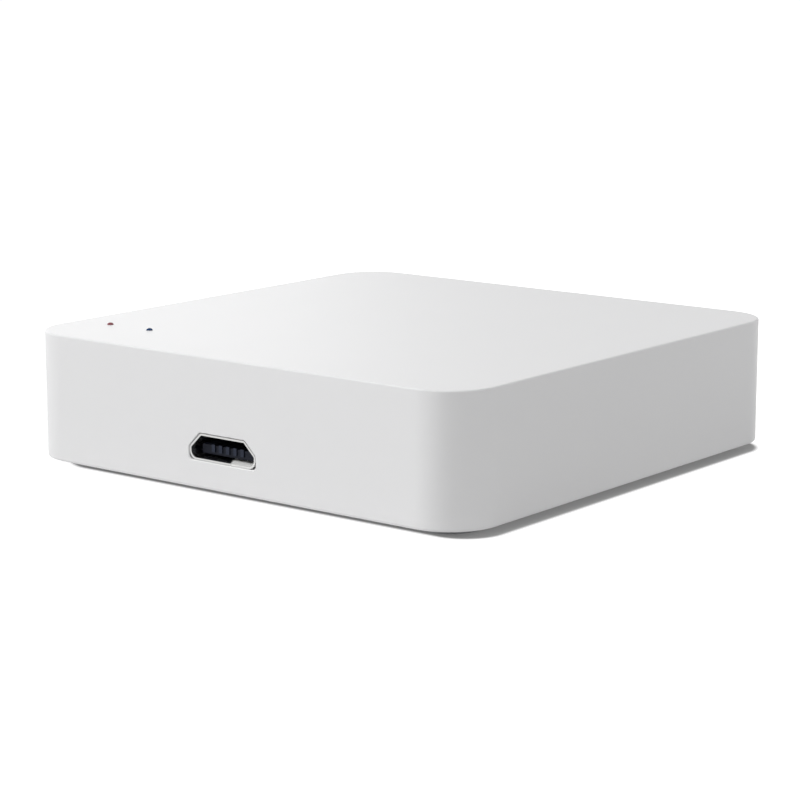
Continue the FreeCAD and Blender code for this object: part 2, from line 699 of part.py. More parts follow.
def board_screw(name, x, y):
    """A pan-head screw; its cross recess and its fine thread aren't modelled."""
    body = new_body(name)
    profile = sketch_on(body, "screw_profile", "XZ_Plane")
    shank = cell("screw_shank") / 2
    head = cell("screw_head") / 2
    add_outline(profile, [
        (0, -cell("screw_length"), 0),
        (shank, -cell("screw_length"), 0),
        (shank, 0, 0),
        (head, 0, 0),
        (head, cell("screw_head_height") - cell("screw_head_bevel"), 0),
        (head - cell("screw_head_bevel"), cell("screw_head_height"), 0),
        (0, cell("screw_head_height"), 0),
    ])
    revolve(body, "screw_turn", profile)
    return place(body, x, y, board_top)


# Power socket: a drawn steel tube with a flared mouth, an insulator and five contacts

def socket_shell():
    body = new_body("socket_shell")
    flare_start = mouth_face - cell("socket_flare")
    tube = sketch_on(body, "tube_outline", "XZ_Plane", flare_start)
    mouth_outline(tube, *TUBE, cell("tube_low_round"))
    mouth = sketch_on(body, "mouth_outline", "XZ_Plane", mouth_face)
    mouth_outline(mouth, *MOUTH, cell("mouth_low_round"))
    flare = body.newObject("PartDesign::AdditiveLoft", "flare")
    flare.Profile = tube
    flare.Sections = [mouth]
    flare.Ruled = True
    solid = pad(body, "tube", tube, cell("socket_depth") - cell("socket_flare"), backwards=True)
    ends = (-number(mouth_face), -number(socket_back))
    doc.recompute()
    sheet_wall = body.newObject("PartDesign::Thickness", "sheet_wall")
    sheet_wall.Base = (solid, [f"Face{index}" for index, face in enumerate(solid.Shape.Faces, start=1)
                               if face.BoundBox.YLength < 1e-4 and near_any(face.BoundBox.YMin, ends)])
    sheet_wall.Reversed = True
    bind(sheet_wall, "Value", cell("socket_sheet"))
    body.Tip = sheet_wall

    legs = sketch_on(body, "leg_outline", "XY_Plane", board_level - cell("leg_tip"))
    half = cell("tube_width") / 2
    rear = -(leg_rear + cell("leg_pitch"))
    for side in (-1, 1):
        inner = (half - cell("socket_sheet")) * side
        outer = half * side
        low_x, high_x = (inner, outer) if side > 0 else (outer, inner)
        add_box(legs, cell("socket_offset") + low_x, rear - cell("leg_length"),
                cell("socket_offset") + high_x, rear)
    leg_rise = socket_level - cell("shoulder_drop") - cell("mouth_shoulder_round") - board_level
    pair = pad(body, "front_legs", legs, leg_rise + cell("leg_tip"))
    in_a_row(body, "all_legs", [pair], "Y_Axis", cell("leg_pitch"), 2)
    return body


def socket_insulator():
    body = new_body("socket_insulator")
    block_outline = sketch_on(body, "block_outline", "XZ_Plane", socket_back)
    inset = cell("socket_sheet") + cell("insulator_gap")
    mouth_outline(block_outline, *TUBE, cell("tube_low_round") - inset, -inset)
    pad(body, "rear_block", block_outline, cell("insulator_block"))

    middle = cell("socket_offset")
    tongue_low = board_top + cell("socket_sheet") + cell("tongue_height")
    tongue_high = tongue_low + cell("tongue_thickness")
    tongue_tip = mouth_face - cell("tongue_inset")
    tongue_outline = sketch_on(body, "tongue_outline", "XZ_Plane", socket_back)
    half = cell("tongue_width") / 2
    add_box(tongue_outline, middle - half, tongue_low, middle + half, tongue_high)
    pad(body, "tongue", tongue_outline, tongue_tip - socket_back)

    channel = sketch_on(body, "contact_channel_outline", "XZ_Plane", socket_back)
    channel_half = cell("contact_pitch") * 2 + cell("contact_width") / 2 + cell("contact_room")
    add_box(channel, middle - channel_half, tongue_high, middle + channel_half,
            tongue_high + cell("contact_sheet") + cell("contact_room"))
    pocket(body, "contact_channel", channel, cell("insulator_block") + cell("contact_room"), backwards=True)
    return body


def socket_contacts():
    """Five strips that hook over the tongue's tip, pass the block and bend down to the board."""
    body = new_body("socket_contacts")
    tongue_high = (board_top + cell("socket_sheet") + cell("tongue_height") + cell("tongue_thickness"))
    strip_top = tongue_high + cell("contact_sheet")
    tip = cell("tongue_inset") - mouth_face
    hook_end = tongue_high - cell("contact_hook")
    drop = cell("contact_room") - socket_back
    profile = sketch_on(body, "contact_profile", "YZ_Plane",
                        cell("socket_offset") - cell("contact_pitch") * 2)
    add_outline(profile, [
        (tip - cell("contact_sheet"), hook_end, 0),
        (tip, hook_end, 0),
        (tip, tongue_high, 0),
        (drop, tongue_high, 0),
        (drop, board_top, 0),
        (drop + cell("contact_tail"), board_top, 0),
        (drop + cell("contact_tail"), board_top + cell("contact_sheet"), 0),
        (drop + cell("contact_sheet"), board_top + cell("contact_sheet"), 0),
        (drop + cell("contact_sheet"), strip_top, 0),
        (tip - cell("contact_sheet"), strip_top, 0),
    ])
    strip = pad(body, "contact", profile, cell("contact_width"), centred=True)
    in_a_row(body, "contacts", [strip], "X_Axis", cell("contact_pitch"), 5)
    return body


# Reset button, and the side-push switch behind it

def reset_button():
    body = new_body("reset_button")
    head_outline = sketch_on(body, "head_outline", "XZ_Plane", -flange_face)
    add_circle(head_outline, 0, button_level, cell("button_diameter"))
    head = pad(body, "head", head_outline, half_side - flange_face, backwards=True)
    face = number(half_side)
    chamfer(body, "head_edge", head, lambda box: near(box.YMin, face) and near(box.YMax, face),
            cell("button_bevel"))
    flange_outline = sketch_on(body, "flange_outline", "XZ_Plane", -flange_face)
    half = cell("button_flange") / 2
    add_box(flange_outline, -half, button_level - half, half, button_level + half)
    pad(body, "flange", flange_outline, cell("flange_thickness"))
    stem_outline = sketch_on(body, "stem_outline", "XZ_Plane", -flange_back)
    add_circle(stem_outline, 0, button_level, cell("stem_diameter"))
    pad(body, "stem", stem_outline, cell("stem_length"))
    return body


def switch_body():
    body = new_body("switch_body")
    cover_back = switch_face - cell("switch_sheet")
    outline = sketch_on(body, "switch_outline", "XY_Plane", board_top)
    half = cell("switch_width") / 2
    add_box(outline, -half, cover_back - cell("switch_depth"), half, cover_back)
    pad(body, "switch_block", outline, cell("switch_height"))
    bore = sketch_on(body, "plunger_bore_outline", "XZ_Plane", -cover_back)
    add_circle(bore, 0, button_level, cell("plunger_diameter") + cell("plunger_gap") * 2)
    pocket(body, "plunger_bore", bore, cell("plunger_inside") + cell("plunger_room"), backwards=True)
    return body


def switch_cover():
    """A folded steel cover over the top, both ends and the face of the switch."""
    body = new_body("switch_cover")
    outline = sketch_on(body, "cover_outline", "XY_Plane", board_top)
    half = cell("switch_width") / 2
    back = switch_face - cell("switch_sheet") - cell("switch_depth")
    outer = half + cell("switch_sheet")
    add_box(outline, -outer, back, outer, switch_face)
    pad(body, "cover_block", outline, cell("switch_height") + cell("switch_sheet"))
    inside = sketch_on(body, "cover_inside_outline", "XY_Plane", board_top)
    add_box(inside, -half, back - cell("switch_sheet"), half, switch_face - cell("switch_sheet"))
    pocket_up(body, "cover_inside", inside, cell("switch_height"))
    hole = sketch_on(body, "cover_hole_outline", "XZ_Plane", -switch_face)
    add_circle(hole, 0, button_level, cell("plunger_diameter") + cell("plunger_gap") * 2)
    pocket(body, "cover_hole", hole, cell("switch_sheet"), backwards=True)
    return body


def switch_plunger():
    body = new_body("switch_plunger")
    outline = sketch_on(body, "plunger_outline", "XZ_Plane", -stem_end)
    add_circle(outline, 0, button_level, cell("plunger_diameter"))
    pad(body, "plunger", outline, cell("plunger_reach") + cell("switch_sheet") + cell("plunger_inside"))
    return body


# Status lights: a diode on the board below a clear pipe that ends in the roof

def light_diode(name, x):
    body = new_body(name)
    outline = sketch_on(body, "diode_outline", "XY_Plane")
    half_length = cell("led_length") / 2
    half_width = cell("led_width") / 2
    add_box(outline, -half_length, -half_width, half_length, half_width)
    pad(body, "diode_block", outline, cell("led_height") - cell("led_lens_height"))
    lens = sketch_on(body, "lens_outline", "XY_Plane", cell("led_height") - cell("led_lens_height"))
    half_lens = cell("led_lens") / 2
    add_box(lens, -half_lens, -half_width, half_lens, half_width)
    pad(body, "lens", lens, cell("led_lens_height"))
    return place(body, x, light_row, board_top)


def light_pipe(name, x):
    body = new_body(name)
    profile = sketch_on(body, "pipe_profile", "XZ_Plane")
    pipe = cell("pipe_diameter") / 2
    tip = cell("tip_diameter") / 2
    shoulder = ceiling - pipe_foot
    end = top_level + cell("tip_proud") - pipe_foot
    bevel = cell("tip_bevel")
    add_outline(profile, [(0, 0, 0), (pipe, 0, 0), (pipe, shoulder, 0), (tip, shoulder, 0),
                          (tip, end - bevel, 0), (tip - bevel, end, 0), (0, end, 0)])
    revolve(body, "pipe_turn", profile)
    return place(body, x, light_row, pipe_foot)


# Radio modules: a small board with solder notches, a shield can and a zigzag antenna

def module_board(name, side):
    body = new_body(name)
    middle = cell("module_offset") * side
    half = cell("module_width") / 2
    outline = sketch_on(body, "module_outline", "XY_Plane", board_top)
    add_box(outline, middle - half, module_front, middle + half, module_back)
    pad(body, "module_sheet", outline, cell("module_thickness"))
    notches = sketch_on(body, "edge_notch_outline", "XY_Plane", board_top)
    depth = cell("edge_notch_depth")
    wide = cell("edge_notch_width") / 2
    row = module_front + cell("edge_notch_inset")
    for edge in (-1, 1):
        rim = middle + half * edge
        add_outline(notches, [
            (rim + depth * edge, row - wide, 0), (rim + depth * edge, row + wide, 0), (rim, row + wide, 0),
            (rim - depth * edge, row + wide / 2, 0), (rim - depth * edge, row - wide / 2, 0),
            (rim, row - wide, 0),
        ])
    first = pocket_up(body, "first_edge_notches", notches, cell("module_thickness"))
    in_a_row(body, "edge_notches", [first], "Y_Axis", cell("edge_notch_pitch"), 7)
    return body


def module_shield(name, side):
    body = new_body(name)
    middle = cell("module_offset") * side
    half = cell("shield_width") / 2
    front = module_front + cell("shield_inset")
    back = front + cell("shield_length")
    outline = sketch_on(body, "shield_outline", "XY_Plane", module_top)
    add_box(outline, middle - half, front, middle + half, back)
    block = pad(body, "shield_block", outline, cell("shield_height"))
    lid = number(module_top + cell("shield_height"))
    chamfer(body, "shield_edges", block,
            lambda box: near(box.ZMax, lid), cell("shield_bevel"))
    sheet_gap = cell("shield_sheet")
    inside = sketch_on(body, "shield_inside_outline", "XY_Plane", module_top)
    inset = sheet_gap + cell("shield_bevel")
    add_box(inside, middle - half + inset, front + inset, middle + half - inset, back - inset)
    pocket_up(body, "shield_inside", inside, cell("shield_height") - sheet_gap)
    return body


def module_antenna(name, side):
    """A foil track that zigzags along the back edge, where the module has no shield."""
    body = new_body(name)
    left = cell("module_offset") * side - cell("module_width") / 2 + cell("antenna_inset")
    top = module_back - cell("antenna_inset") / 2
    bottom = top - cell("antenna_rise")
    trace = cell("antenna_trace")
    step = cell("antenna_pitch") / 2
    turn = sketch_on(body, "antenna_turn_outline", "XY_Plane", module_top)
    add_outline(turn, [
        (left, bottom, 0),
        (left + trace, bottom, 0),
        (left + trace, top - trace, 0),
        (left + step, top - trace, 0),
        (left + step, bottom, 0),
        (left + step * 2 + trace, bottom, 0),
        (left + step * 2 + trace, bottom + trace, 0),
        (left + step + trace, bottom + trace, 0),
        (left + step + trace, top, 0),
        (left, top, 0),
    ])
    first = pad(body, "antenna_turn", turn, cell("antenna_foil"))
    in_a_row(body, "antenna_turns", [first], "X_Axis", cell("antenna_pitch"), 6)
    return body


# Power parts on the front half of the board

def storage_can(name, row):
    body = new_body(name)
    base = sketch_on(body, "can_base_outline", "XY_Plane")
    half = cell("can_base_side") / 2
    cut = half / 3
    add_outline(base, [
        (-half, -half, 0), (half - cut, -half, 0), (half, cut - half, 0),
        (half, half - cut, 0), (half - cut, half, 0), (-half, half, 0),
    ])
    pad(body, "can_base", base, cell("can_base_height"))
    profile = sketch_on(body, "can_profile", "XZ_Plane")
    radius = cell("can_diameter") / 2
    crown = cell("can_crown")
    low = cell("can_base_height")
    top = low + cell("can_height")
    add_outline(profile, [
        (0, low, 0), (radius, low, 0), (radius, top - crown, 0), (radius - crown, top, 0), (0, top, 0),
    ])
    revolve(body, "can_turn", profile)
    return place(body, cell("can_offset"), cell("can_inset") + cell("can_pitch") * row - board_half, board_top)


def regulator_body():
    body = new_body("regulator_body")
    x = cell("regulator_offset")
    y = cell("regulator_inset") - board_half
    half_width = cell("regulator_width") / 2
    half_depth = cell("regulator_depth") / 2
    outline = sketch_on(body, "regulator_outline", "XY_Plane", board_top)
    add_box(outline, x - half_width, y - half_depth, x + half_width, y + half_depth)
    block = pad(body, "regulator_block", outline, cell("regulator_height"))
    chamfer(body, "regulator_edge", block, level_with(board_top + cell("regulator_height")),
            cell("lead_sheet"))
    return body


def regulator_leads():
    """Three narrow bent leads in front and one wide lead behind."""
    body = new_body("regulator_leads")
    x = cell("regulator_offset")
    y = cell("regulator_inset") - board_half
    side = cell("regulator_depth") / 2
    reach = side + cell("lead_reach")
    foot_start = reach - cell("lead_foot")
    sheet_gap = cell("lead_sheet")
    exit_level = board_top + cell("regulator_height") / 2
    for name, way, width, start in (("lead", -1, cell("lead_width"), x - cell("lead_pitch")),
                                    ("tab", 1, cell("tab_width"), x)):
        profile = sketch_on(body, f"{name}_profile", "YZ_Plane", start)
        points = [
            (side, exit_level), (foot_start - sheet_gap, exit_level), (foot_start - sheet_gap, board_top),
            (reach, board_top), (reach, board_top + sheet_gap), (foot_start, board_top + sheet_gap),
            (foot_start, exit_level + sheet_gap), (side, exit_level + sheet_gap),
        ]
        add_outline(profile, [(y + across * way, up, 0) for across, up in points])
        bent = pad(body, name, profile, width, centred=True)
        if name == "lead":
            in_a_row(body, "leads", [bent], "X_Axis", cell("lead_pitch"), 3)
    return body


def chip(name, x, y, width, depth, height, bevel=0):
    """A small part that is soldered flat on the board."""
    body = new_body(name)
    outline = sketch_on(body, "chip_outline", "XY_Plane", board_top)
    add_box(outline, x - width / 2, y - depth / 2, x + width / 2, y + depth / 2)
    block = pad(body, "chip_block", outline, height)
    if number(bevel) > 0:
        chamfer(body, "chip_edge", block, level_with(board_top + height), bevel)
    return body


def chip_row(name, x, y, count):
    body = chip(name, x, y, cell("chip_width"), cell("chip_length"), cell("chip_height"))
    in_a_row(body, "chips", [body.Tip], "X_Axis", cell("chip_pitch"), count)
    return body


# The whole hub
pieces = [top_shell(), base_plate()]
for depth_name, side_y in (("front", -1), ("back", 1)):
    for side_name, side_x in (("left", -1), ("right", 1)):
        pieces.append(foot(f"foot_{depth_name}_{side_name}", side_x, side_y))
pieces.append(circuit_board())
for screw_name, (screw_x, screw_y) in SCREWS.items():
    pieces.append(board_screw(f"board_screw_{screw_name}", screw_x, screw_y))
pieces += [socket_shell(), socket_insulator(), socket_contacts()]
pieces += [reset_button(), switch_body(), switch_cover(), switch_plunger()]
for colour, light_x in LIGHTS.items():
    pieces.append(light_diode(f"{colour}_light_diode", light_x))
    pieces.append(light_pipe(f"{colour}_light_pipe", light_x))
for radio, radio_side in (("mesh_radio", -1), ("lan_radio", 1)):
    pieces.append(module_board(f"{radio}_board", radio_side))
    pieces.append(module_shield(f"{radio}_shield", radio_side))
    pieces.append(module_antenna(f"{radio}_antenna", radio_side))
pieces += [storage_can("storage_can_front", 0), storage_can("storage_can_back", 1)]
pieces += [regulator_body(), regulator_leads()]
input_row = cell("input_inset") - board_half
middle_row = cell("regulator_inset") - board_half
pieces.append(chip("power_coil", cell("coil_offset"), middle_row, cell("coil_side"), cell("coil_side"),
                   cell("coil_height"), cell("lead_sheet")))
pieces.append(chip("surge_diode", cell("diode_offset"), input_row, cell("diode_width"),
                   cell("diode_depth"), cell("diode_height"), cell("lead_sheet")))
pieces.append(chip("input_fuse", cell("fuse_offset"), input_row, cell("fuse_width"),
                   cell("fuse_depth"), cell("fuse_height")))
light_resistor_row = light_row + cell("led_width") + cell("chip_length")
pieces.append(chip_row("light_resistors", LIGHTS["red"] + cell("led_length"), light_resistor_row, 2))
pieces.append(chip_row("filter_capacitors", cell("coil_offset") + cell("coil_side"), middle_row, 3))
doc.recompute()


# Every feature has worked, and each cut or added form has changed its piece
for item in doc.Objects:
    if "Invalid" in item.State or "Error" in item.State:
        raise RuntimeError(f"{item.Name} failed: {item.State}")
    if item.TypeId == "Sketcher::SketchObject" and not item.FullyConstrained:
        raise RuntimeError(f"{item.Name} isn't fully constrained")
    base = getattr(item, "BaseFeature", None)
    if base is not None and near(item.Shape.Volume, base.Shape.Volume):
        raise RuntimeError(f"{item.Name} changes nothing")
for piece in pieces:
    if piece.Shape.isNull() or not piece.Shape.isValid():
        raise RuntimeError(f"{piece.Label} has no valid shape")

os.makedirs("parts", exist_ok=True)
for piece in pieces:
    piece.Shape.exportStep(f"parts/{piece.Label}.step")
    box = piece.Shape.optimalBoundingBox()
    print(f"{piece.Label:24s} solids {len(piece.Shape.Solids)} volume {piece.Shape.Volume:9.3f} "
          f"x {box.XMin:7.2f} {box.XMax:7.2f} y {box.YMin:7.2f} {box.YMax:7.2f} "
          f"z {box.ZMin:6.2f} {box.ZMax:6.2f}")
print(len(pieces), "pieces")
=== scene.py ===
import math

import bmesh
import bpy
from mathutils import Matrix, Vector


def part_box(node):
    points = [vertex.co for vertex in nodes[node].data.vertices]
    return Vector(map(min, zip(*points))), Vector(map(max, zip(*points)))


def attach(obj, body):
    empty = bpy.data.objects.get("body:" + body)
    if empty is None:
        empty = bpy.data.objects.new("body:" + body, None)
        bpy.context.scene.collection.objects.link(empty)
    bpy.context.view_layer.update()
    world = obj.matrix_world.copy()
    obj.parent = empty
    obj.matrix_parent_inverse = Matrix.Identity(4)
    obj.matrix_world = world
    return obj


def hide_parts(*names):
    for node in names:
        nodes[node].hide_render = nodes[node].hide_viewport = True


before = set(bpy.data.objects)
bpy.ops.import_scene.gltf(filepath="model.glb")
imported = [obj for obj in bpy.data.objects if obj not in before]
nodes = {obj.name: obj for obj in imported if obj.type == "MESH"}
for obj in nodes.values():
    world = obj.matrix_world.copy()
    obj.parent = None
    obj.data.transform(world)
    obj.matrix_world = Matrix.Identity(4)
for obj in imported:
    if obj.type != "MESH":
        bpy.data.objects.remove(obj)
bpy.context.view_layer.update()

# The gateway hub: a white snap-on cover over a grey base plate, with its circuit board inside.
# Lengths are in metres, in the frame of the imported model: the power socket faces -Y, the button +Y.
MM = 0.001


# Camera
# A long lens a little above the hub's height, turned to the corner between the socket's wall and
# the right wall. Its place, turn and lens come from the straight edges of the photograph.
CAMERA_PLACE = Vector((166.97, -213.66, 60.09)) * MM
CAMERA_AZIMUTH = math.radians(38.17)
CAMERA_ELEVATION = math.radians(11.247)
CAMERA_ROLL = math.radians(0.038)
CAMERA_LENS = 110.61
CAMERA_SENSOR = 36.0


def camera_turn(azimuth, elevation, roll):
    """The turn of a camera that looks level along +Y at azimuth 0, as a matrix."""
    right = Vector((math.cos(azimuth), math.sin(azimuth), 0.0))
    back = Vector((math.sin(azimuth) * math.cos(elevation), -math.cos(azimuth) * math.cos(elevation),
                   math.sin(elevation)))
    turn = Matrix((right, back.cross(right), back)).transposed()
    return turn @ Matrix.Rotation(roll, 3, "Z")


lens = bpy.data.cameras.new("camera")
lens.lens = CAMERA_LENS
lens.sensor_width = CAMERA_SENSOR
lens.clip_start = 0.01
lens.clip_end = 20.0
camera = bpy.data.objects.new("camera", lens)
camera.matrix_world = (Matrix.Translation(CAMERA_PLACE)
                       @ camera_turn(CAMERA_AZIMUTH, CAMERA_ELEVATION, CAMERA_ROLL).to_4x4())
bpy.context.scene.collection.objects.link(camera)
bpy.context.scene.camera = camera


# Base plate
# A shallow tray of grey ABS that the rest is fastened to, injection moulded with a grained
# underside. Hooks round its edge snap into the white cover.
BASE_GREY = (0.40, 0.405, 0.42)
BASE_ROUGHNESS = 0.55
BASE_GRAIN = 0.22 * MM
BASE_GRAIN_DEPTH = 0.005 * MM
BASE_SHADE = 0.04
DULL_PATCH_GRAINS = 25
SHARP_ANGLE = math.radians(22)
WELD = 0.001 * MM


def shader_group(name, inputs, outputs):
    """An empty node group with its sockets, and the nodes that its inside starts and ends at."""
    group = bpy.data.node_groups.new(name, "ShaderNodeTree")
    for socket, (kind, value) in inputs.items():
        made = group.interface.new_socket(socket, in_out="INPUT", socket_type=kind)
        made.default_value = value
    for socket, kind in outputs.items():
        group.interface.new_socket(socket, in_out="OUTPUT", socket_type=kind)
    return group, group.nodes.new("NodeGroupInput"), group.nodes.new("NodeGroupOutput")


def math_node(tree, operation, first, second=0.0):
    """A Math node on one or two sockets or numbers, as its output."""
    node = tree.nodes.new("ShaderNodeMath")
    node.operation = operation
    for socket, value in zip(node.inputs, (first, second)):
        if isinstance(value, bpy.types.NodeSocket):
            tree.links.new(value, socket)
        else:
            socket.default_value = value
    return node.outputs[0]


def noise(tree, vector, scale, detail):
    """Even noise from 0 to 1, with its scale as a socket or a number."""
    node = tree.nodes.new("ShaderNodeTexNoise")
    node.inputs["Detail"].default_value = detail
    tree.links.new(vector, node.inputs["Vector"])
    if isinstance(scale, bpy.types.NodeSocket):
        tree.links.new(scale, node.inputs["Scale"])
    else:
        node.inputs["Scale"].default_value = scale
    return node.outputs["Fac"]


def swing(tree, value, spread):
    """Turns noise into a change of half the spread either way."""
    return math_node(tree, "MULTIPLY", math_node(tree, "SUBTRACT", value, 0.5), spread)


def make_mould_grain():
    """The fine grain that a spark-eroded mould leaves: how high it stands and how dull it is."""
    group, start, end = shader_group("mould_grain", {
        "Grain Size": ("NodeSocketFloat", BASE_GRAIN),
        "Roughness": ("NodeSocketFloat", BASE_ROUGHNESS),
        "Spread": ("NodeSocketFloat", 0.05),
    }, {"Height": "NodeSocketFloat", "Roughness": "NodeSocketFloat"})
    place = group.nodes.new("ShaderNodeTexCoord").outputs["Object"]
    scale = math_node(group, "DIVIDE", 1.0, start.outputs["Grain Size"])
    fine = noise(group, place, scale, detail=2.0)
    wide = noise(group, place, math_node(group, "DIVIDE", scale, DULL_PATCH_GRAINS), detail=3.0)
    drift = swing(group, wide, start.outputs["Spread"])
    group.links.new(fine, end.inputs["Height"])
    group.links.new(math_node(group, "ADD", start.outputs["Roughness"], drift), end.inputs["Roughness"])
    return group


def make_colour_drift():
    """The slight change of shade over a moulded, painted or plated surface."""
    group, start, end = shader_group("colour_drift", {
        "Color": ("NodeSocketColor", (0.5, 0.5, 0.5, 1.0)),
        "Shade": ("NodeSocketFloat", 0.05),
        "Patch Size": ("NodeSocketFloat", 8 * MM),
    }, {"Color": "NodeSocketColor"})
    place = group.nodes.new("ShaderNodeTexCoord").outputs["Object"]
    patch = noise(group, place, math_node(group, "DIVIDE", 1.0, start.outputs["Patch Size"]), detail=2.0)
    level = math_node(group, "ADD", 1.0, swing(group, patch, start.outputs["Shade"]))
    shade = group.nodes.new("ShaderNodeVectorMath")
    shade.operation = "SCALE"
    group.links.new(start.outputs["Color"], shade.inputs[0])
    group.links.new(level, shade.inputs["Scale"])
    group.links.new(shade.outputs["Vector"], end.inputs["Color"])
    return group


mould_grain = make_mould_grain()
colour_drift = make_colour_drift()


def place_group(tree, group, values):
    """Puts a group in a material with its own values."""
    node = tree.nodes.new("ShaderNodeGroup")
    node.node_tree = group
    for socket, value in values.items():
        node.inputs[socket].default_value = value
    return node


def new_material(name, metallic=0.0):
    """A material with its node tree and its shader."""
    material = bpy.data.materials.new(name)
    material.use_nodes = True
    shader = material.node_tree.nodes["Principled BSDF"]
    shader.inputs["Metallic"].default_value = metallic
    return material, material.node_tree, shader


def bump(tree, shader, height, depth):
    """Lifts the surface by up to the given depth."""
    node = tree.nodes.new("ShaderNodeBump")
    node.inputs["Strength"].default_value = 1.0
    node.inputs["Distance"].default_value = depth
    tree.links.new(height, node.inputs["Height"])
    tree.links.new(node.outputs["Normal"], shader.inputs["Normal"])


def moulded(name, color, roughness, grain, depth, shade, metallic=0.0, sheen=0.5):
    """Plastic, rubber, ceramic or epoxy with a mould's fine grain, or metal with a fine matt skin."""
    material, tree, shader = new_material(name, metallic)
    drift = place_group(tree, colour_drift, {"Color": (*color, 1.0), "Shade": shade})
    surface = place_group(tree, mould_grain, {"Grain Size": grain, "Roughness": roughness})
    tree.links.new(drift.outputs["Color"], shader.inputs["Base Color"])
    tree.links.new(surface.outputs["Roughness"], shader.inputs["Roughness"])
    bump(tree, shader, surface.outputs["Height"], depth)
    shader.inputs["Specular IOR Level"].default_value = sheen
    return material


def add_piece(name, form, material, body, slot, *replaced):
    """A finished mesh as a piece of the hub, in place of the nodes that it stands for."""
    piece = bpy.data.objects.new(name, bpy.data.meshes.new(name))
    form.to_mesh(piece.data)
    form.free()
    piece.data.materials.append(material)
    bpy.context.scene.collection.objects.link(piece)
    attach(piece, body)
    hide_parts(*replaced)
    return piece


def smooth_rounds(form):
    """Shades the rounds smooth and keeps the real edges sharp."""
    for face in form.faces:
        face.smooth = True
    for edge in form.edges:
        edge.smooth = len(edge.link_faces) == 2 and edge.calc_face_angle(0.0) < SHARP_ANGLE


def even_normals(piece):
    """Lets the rounds meet the flats with no seam in the shading."""
    even = piece.modifiers.new("even_normals", "WEIGHTED_NORMAL")
    even.keep_sharp = True
    even.weight = 100


def moulding(node_name, piece_name, material, body, slot):
    """The node's own form as one skin, with clean shading over its rounds."""
    form = bmesh.new()
    form.from_mesh(nodes[node_name].data)
    bmesh.ops.remove_doubles(form, verts=form.verts, dist=WELD)
    smooth_rounds(form)
    for face in form.faces:
        face.material_index = 0
    piece = add_piece(piece_name, form, material, body, slot, node_name)
    even_normals(piece)
    return piece


grey_abs = moulded("grey_abs", BASE_GREY, BASE_ROUGHNESS, BASE_GRAIN, BASE_GRAIN_DEPTH, BASE_SHADE)
moulding("base_plate", "base_tray", grey_abs, "hub", "base_grey")


# Rubber feet
# Four round pads of soft black rubber, moulded and glued into the recesses of the base plate.
# Each has a rounded edge and a slightly dished face.
RUBBER_BLACK = (0.035, 0.035, 0.037)
RUBBER_ROUGHNESS = 0.85
RUBBER_GRAIN = 0.12 * MM
RUBBER_GRAIN_DEPTH = 0.006 * MM
RUBBER_SHADE = 0.08
FOOT_EDGE = 0.25 * MM
FOOT_DISH = 0.06 * MM
DISH_REACH = 0.8
DISH_BEND_REACH = 0.5
DISH_BEND_RISE = 0.7
FOOT_STEPS = 64


def turned(profile, steps):
    """A solid turned about Z from (radius, height) points that start and end on the axis."""
    form = bmesh.new()
    rings = []
    for radius, height in profile:
        if radius < WELD:
            rings.append([form.verts.new((0.0, 0.0, height))])
            continue
        ring = []
        for step in range(steps):
            turn = 2 * math.pi * step / steps
            ring.append(form.verts.new((radius * math.cos(turn), radius * math.sin(turn), height)))
        rings.append(ring)
    for lower, upper in zip(rings, rings[1:]):
        for step in range(steps):
            after = (step + 1) % steps
            corners = [lower[step % len(lower)], lower[after % len(lower)],
                       upper[after % len(upper)], upper[step % len(upper)]]
            form.faces.new(list(dict.fromkeys(corners)))
    bmesh.ops.recalc_face_normals(form, faces=form.faces)
    return form


def arc(center, radius, start, end, steps):
    """Points of a profile along an arc, with angles in degrees."""
    points = []
    for step in range(steps + 1):
        angle = math.radians(start + (end - start) * step / steps)
        points.append((center[0] + radius * math.cos(angle), center[1] + radius * math.sin(angle)))
    return points


def to_place(form, low, high):
    """Moves a form from the Z axis to the middle of its node's box."""
    bmesh.ops.translate(form, verts=form.verts, vec=((low.x + high.x) / 2, (low.y + high.y) / 2, 0.0))


rubber = moulded("black_rubber", RUBBER_BLACK, RUBBER_ROUGHNESS, RUBBER_GRAIN, RUBBER_GRAIN_DEPTH,
                 RUBBER_SHADE)
for corner in ("front_left", "front_right", "back_left", "back_right"):
    low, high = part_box("foot_" + corner)
    radius = (high.x - low.x) / 2
    profile = [(0.0, low.z + FOOT_DISH), (radius * DISH_BEND_REACH, low.z + FOOT_DISH * DISH_BEND_RISE),
               (radius * DISH_REACH, low.z)]
    profile += arc((radius - FOOT_EDGE, low.z + FOOT_EDGE), FOOT_EDGE, -90, 0, steps=6)
    profile += [(radius, high.z), (0.0, high.z)]
    foot = turned(profile, FOOT_STEPS)
    smooth_rounds(foot)
    to_place(foot, low, high)
    add_piece("foot_pad_" + corner, foot, rubber, "hub", "foot_rubber", "foot_" + corner)


# Circuit board
# Glass-fibre board under a green solder mask, with copper tracks that show through it as paler,
# slightly raised lines. It lies on posts and bosses of the base plate.
MASK_GREEN = (0.012, 0.13, 0.055)
TRACK_GREEN = (0.03, 0.24, 0.10)
TRACK_HEIGHT = 0.02 * MM
TRACK_SHARE = 0.14
TRACK_PITCH = 0.9 * MM
TRACK_LENGTH = 5.2 * MM
TRACK_FIELD = 9 * MM


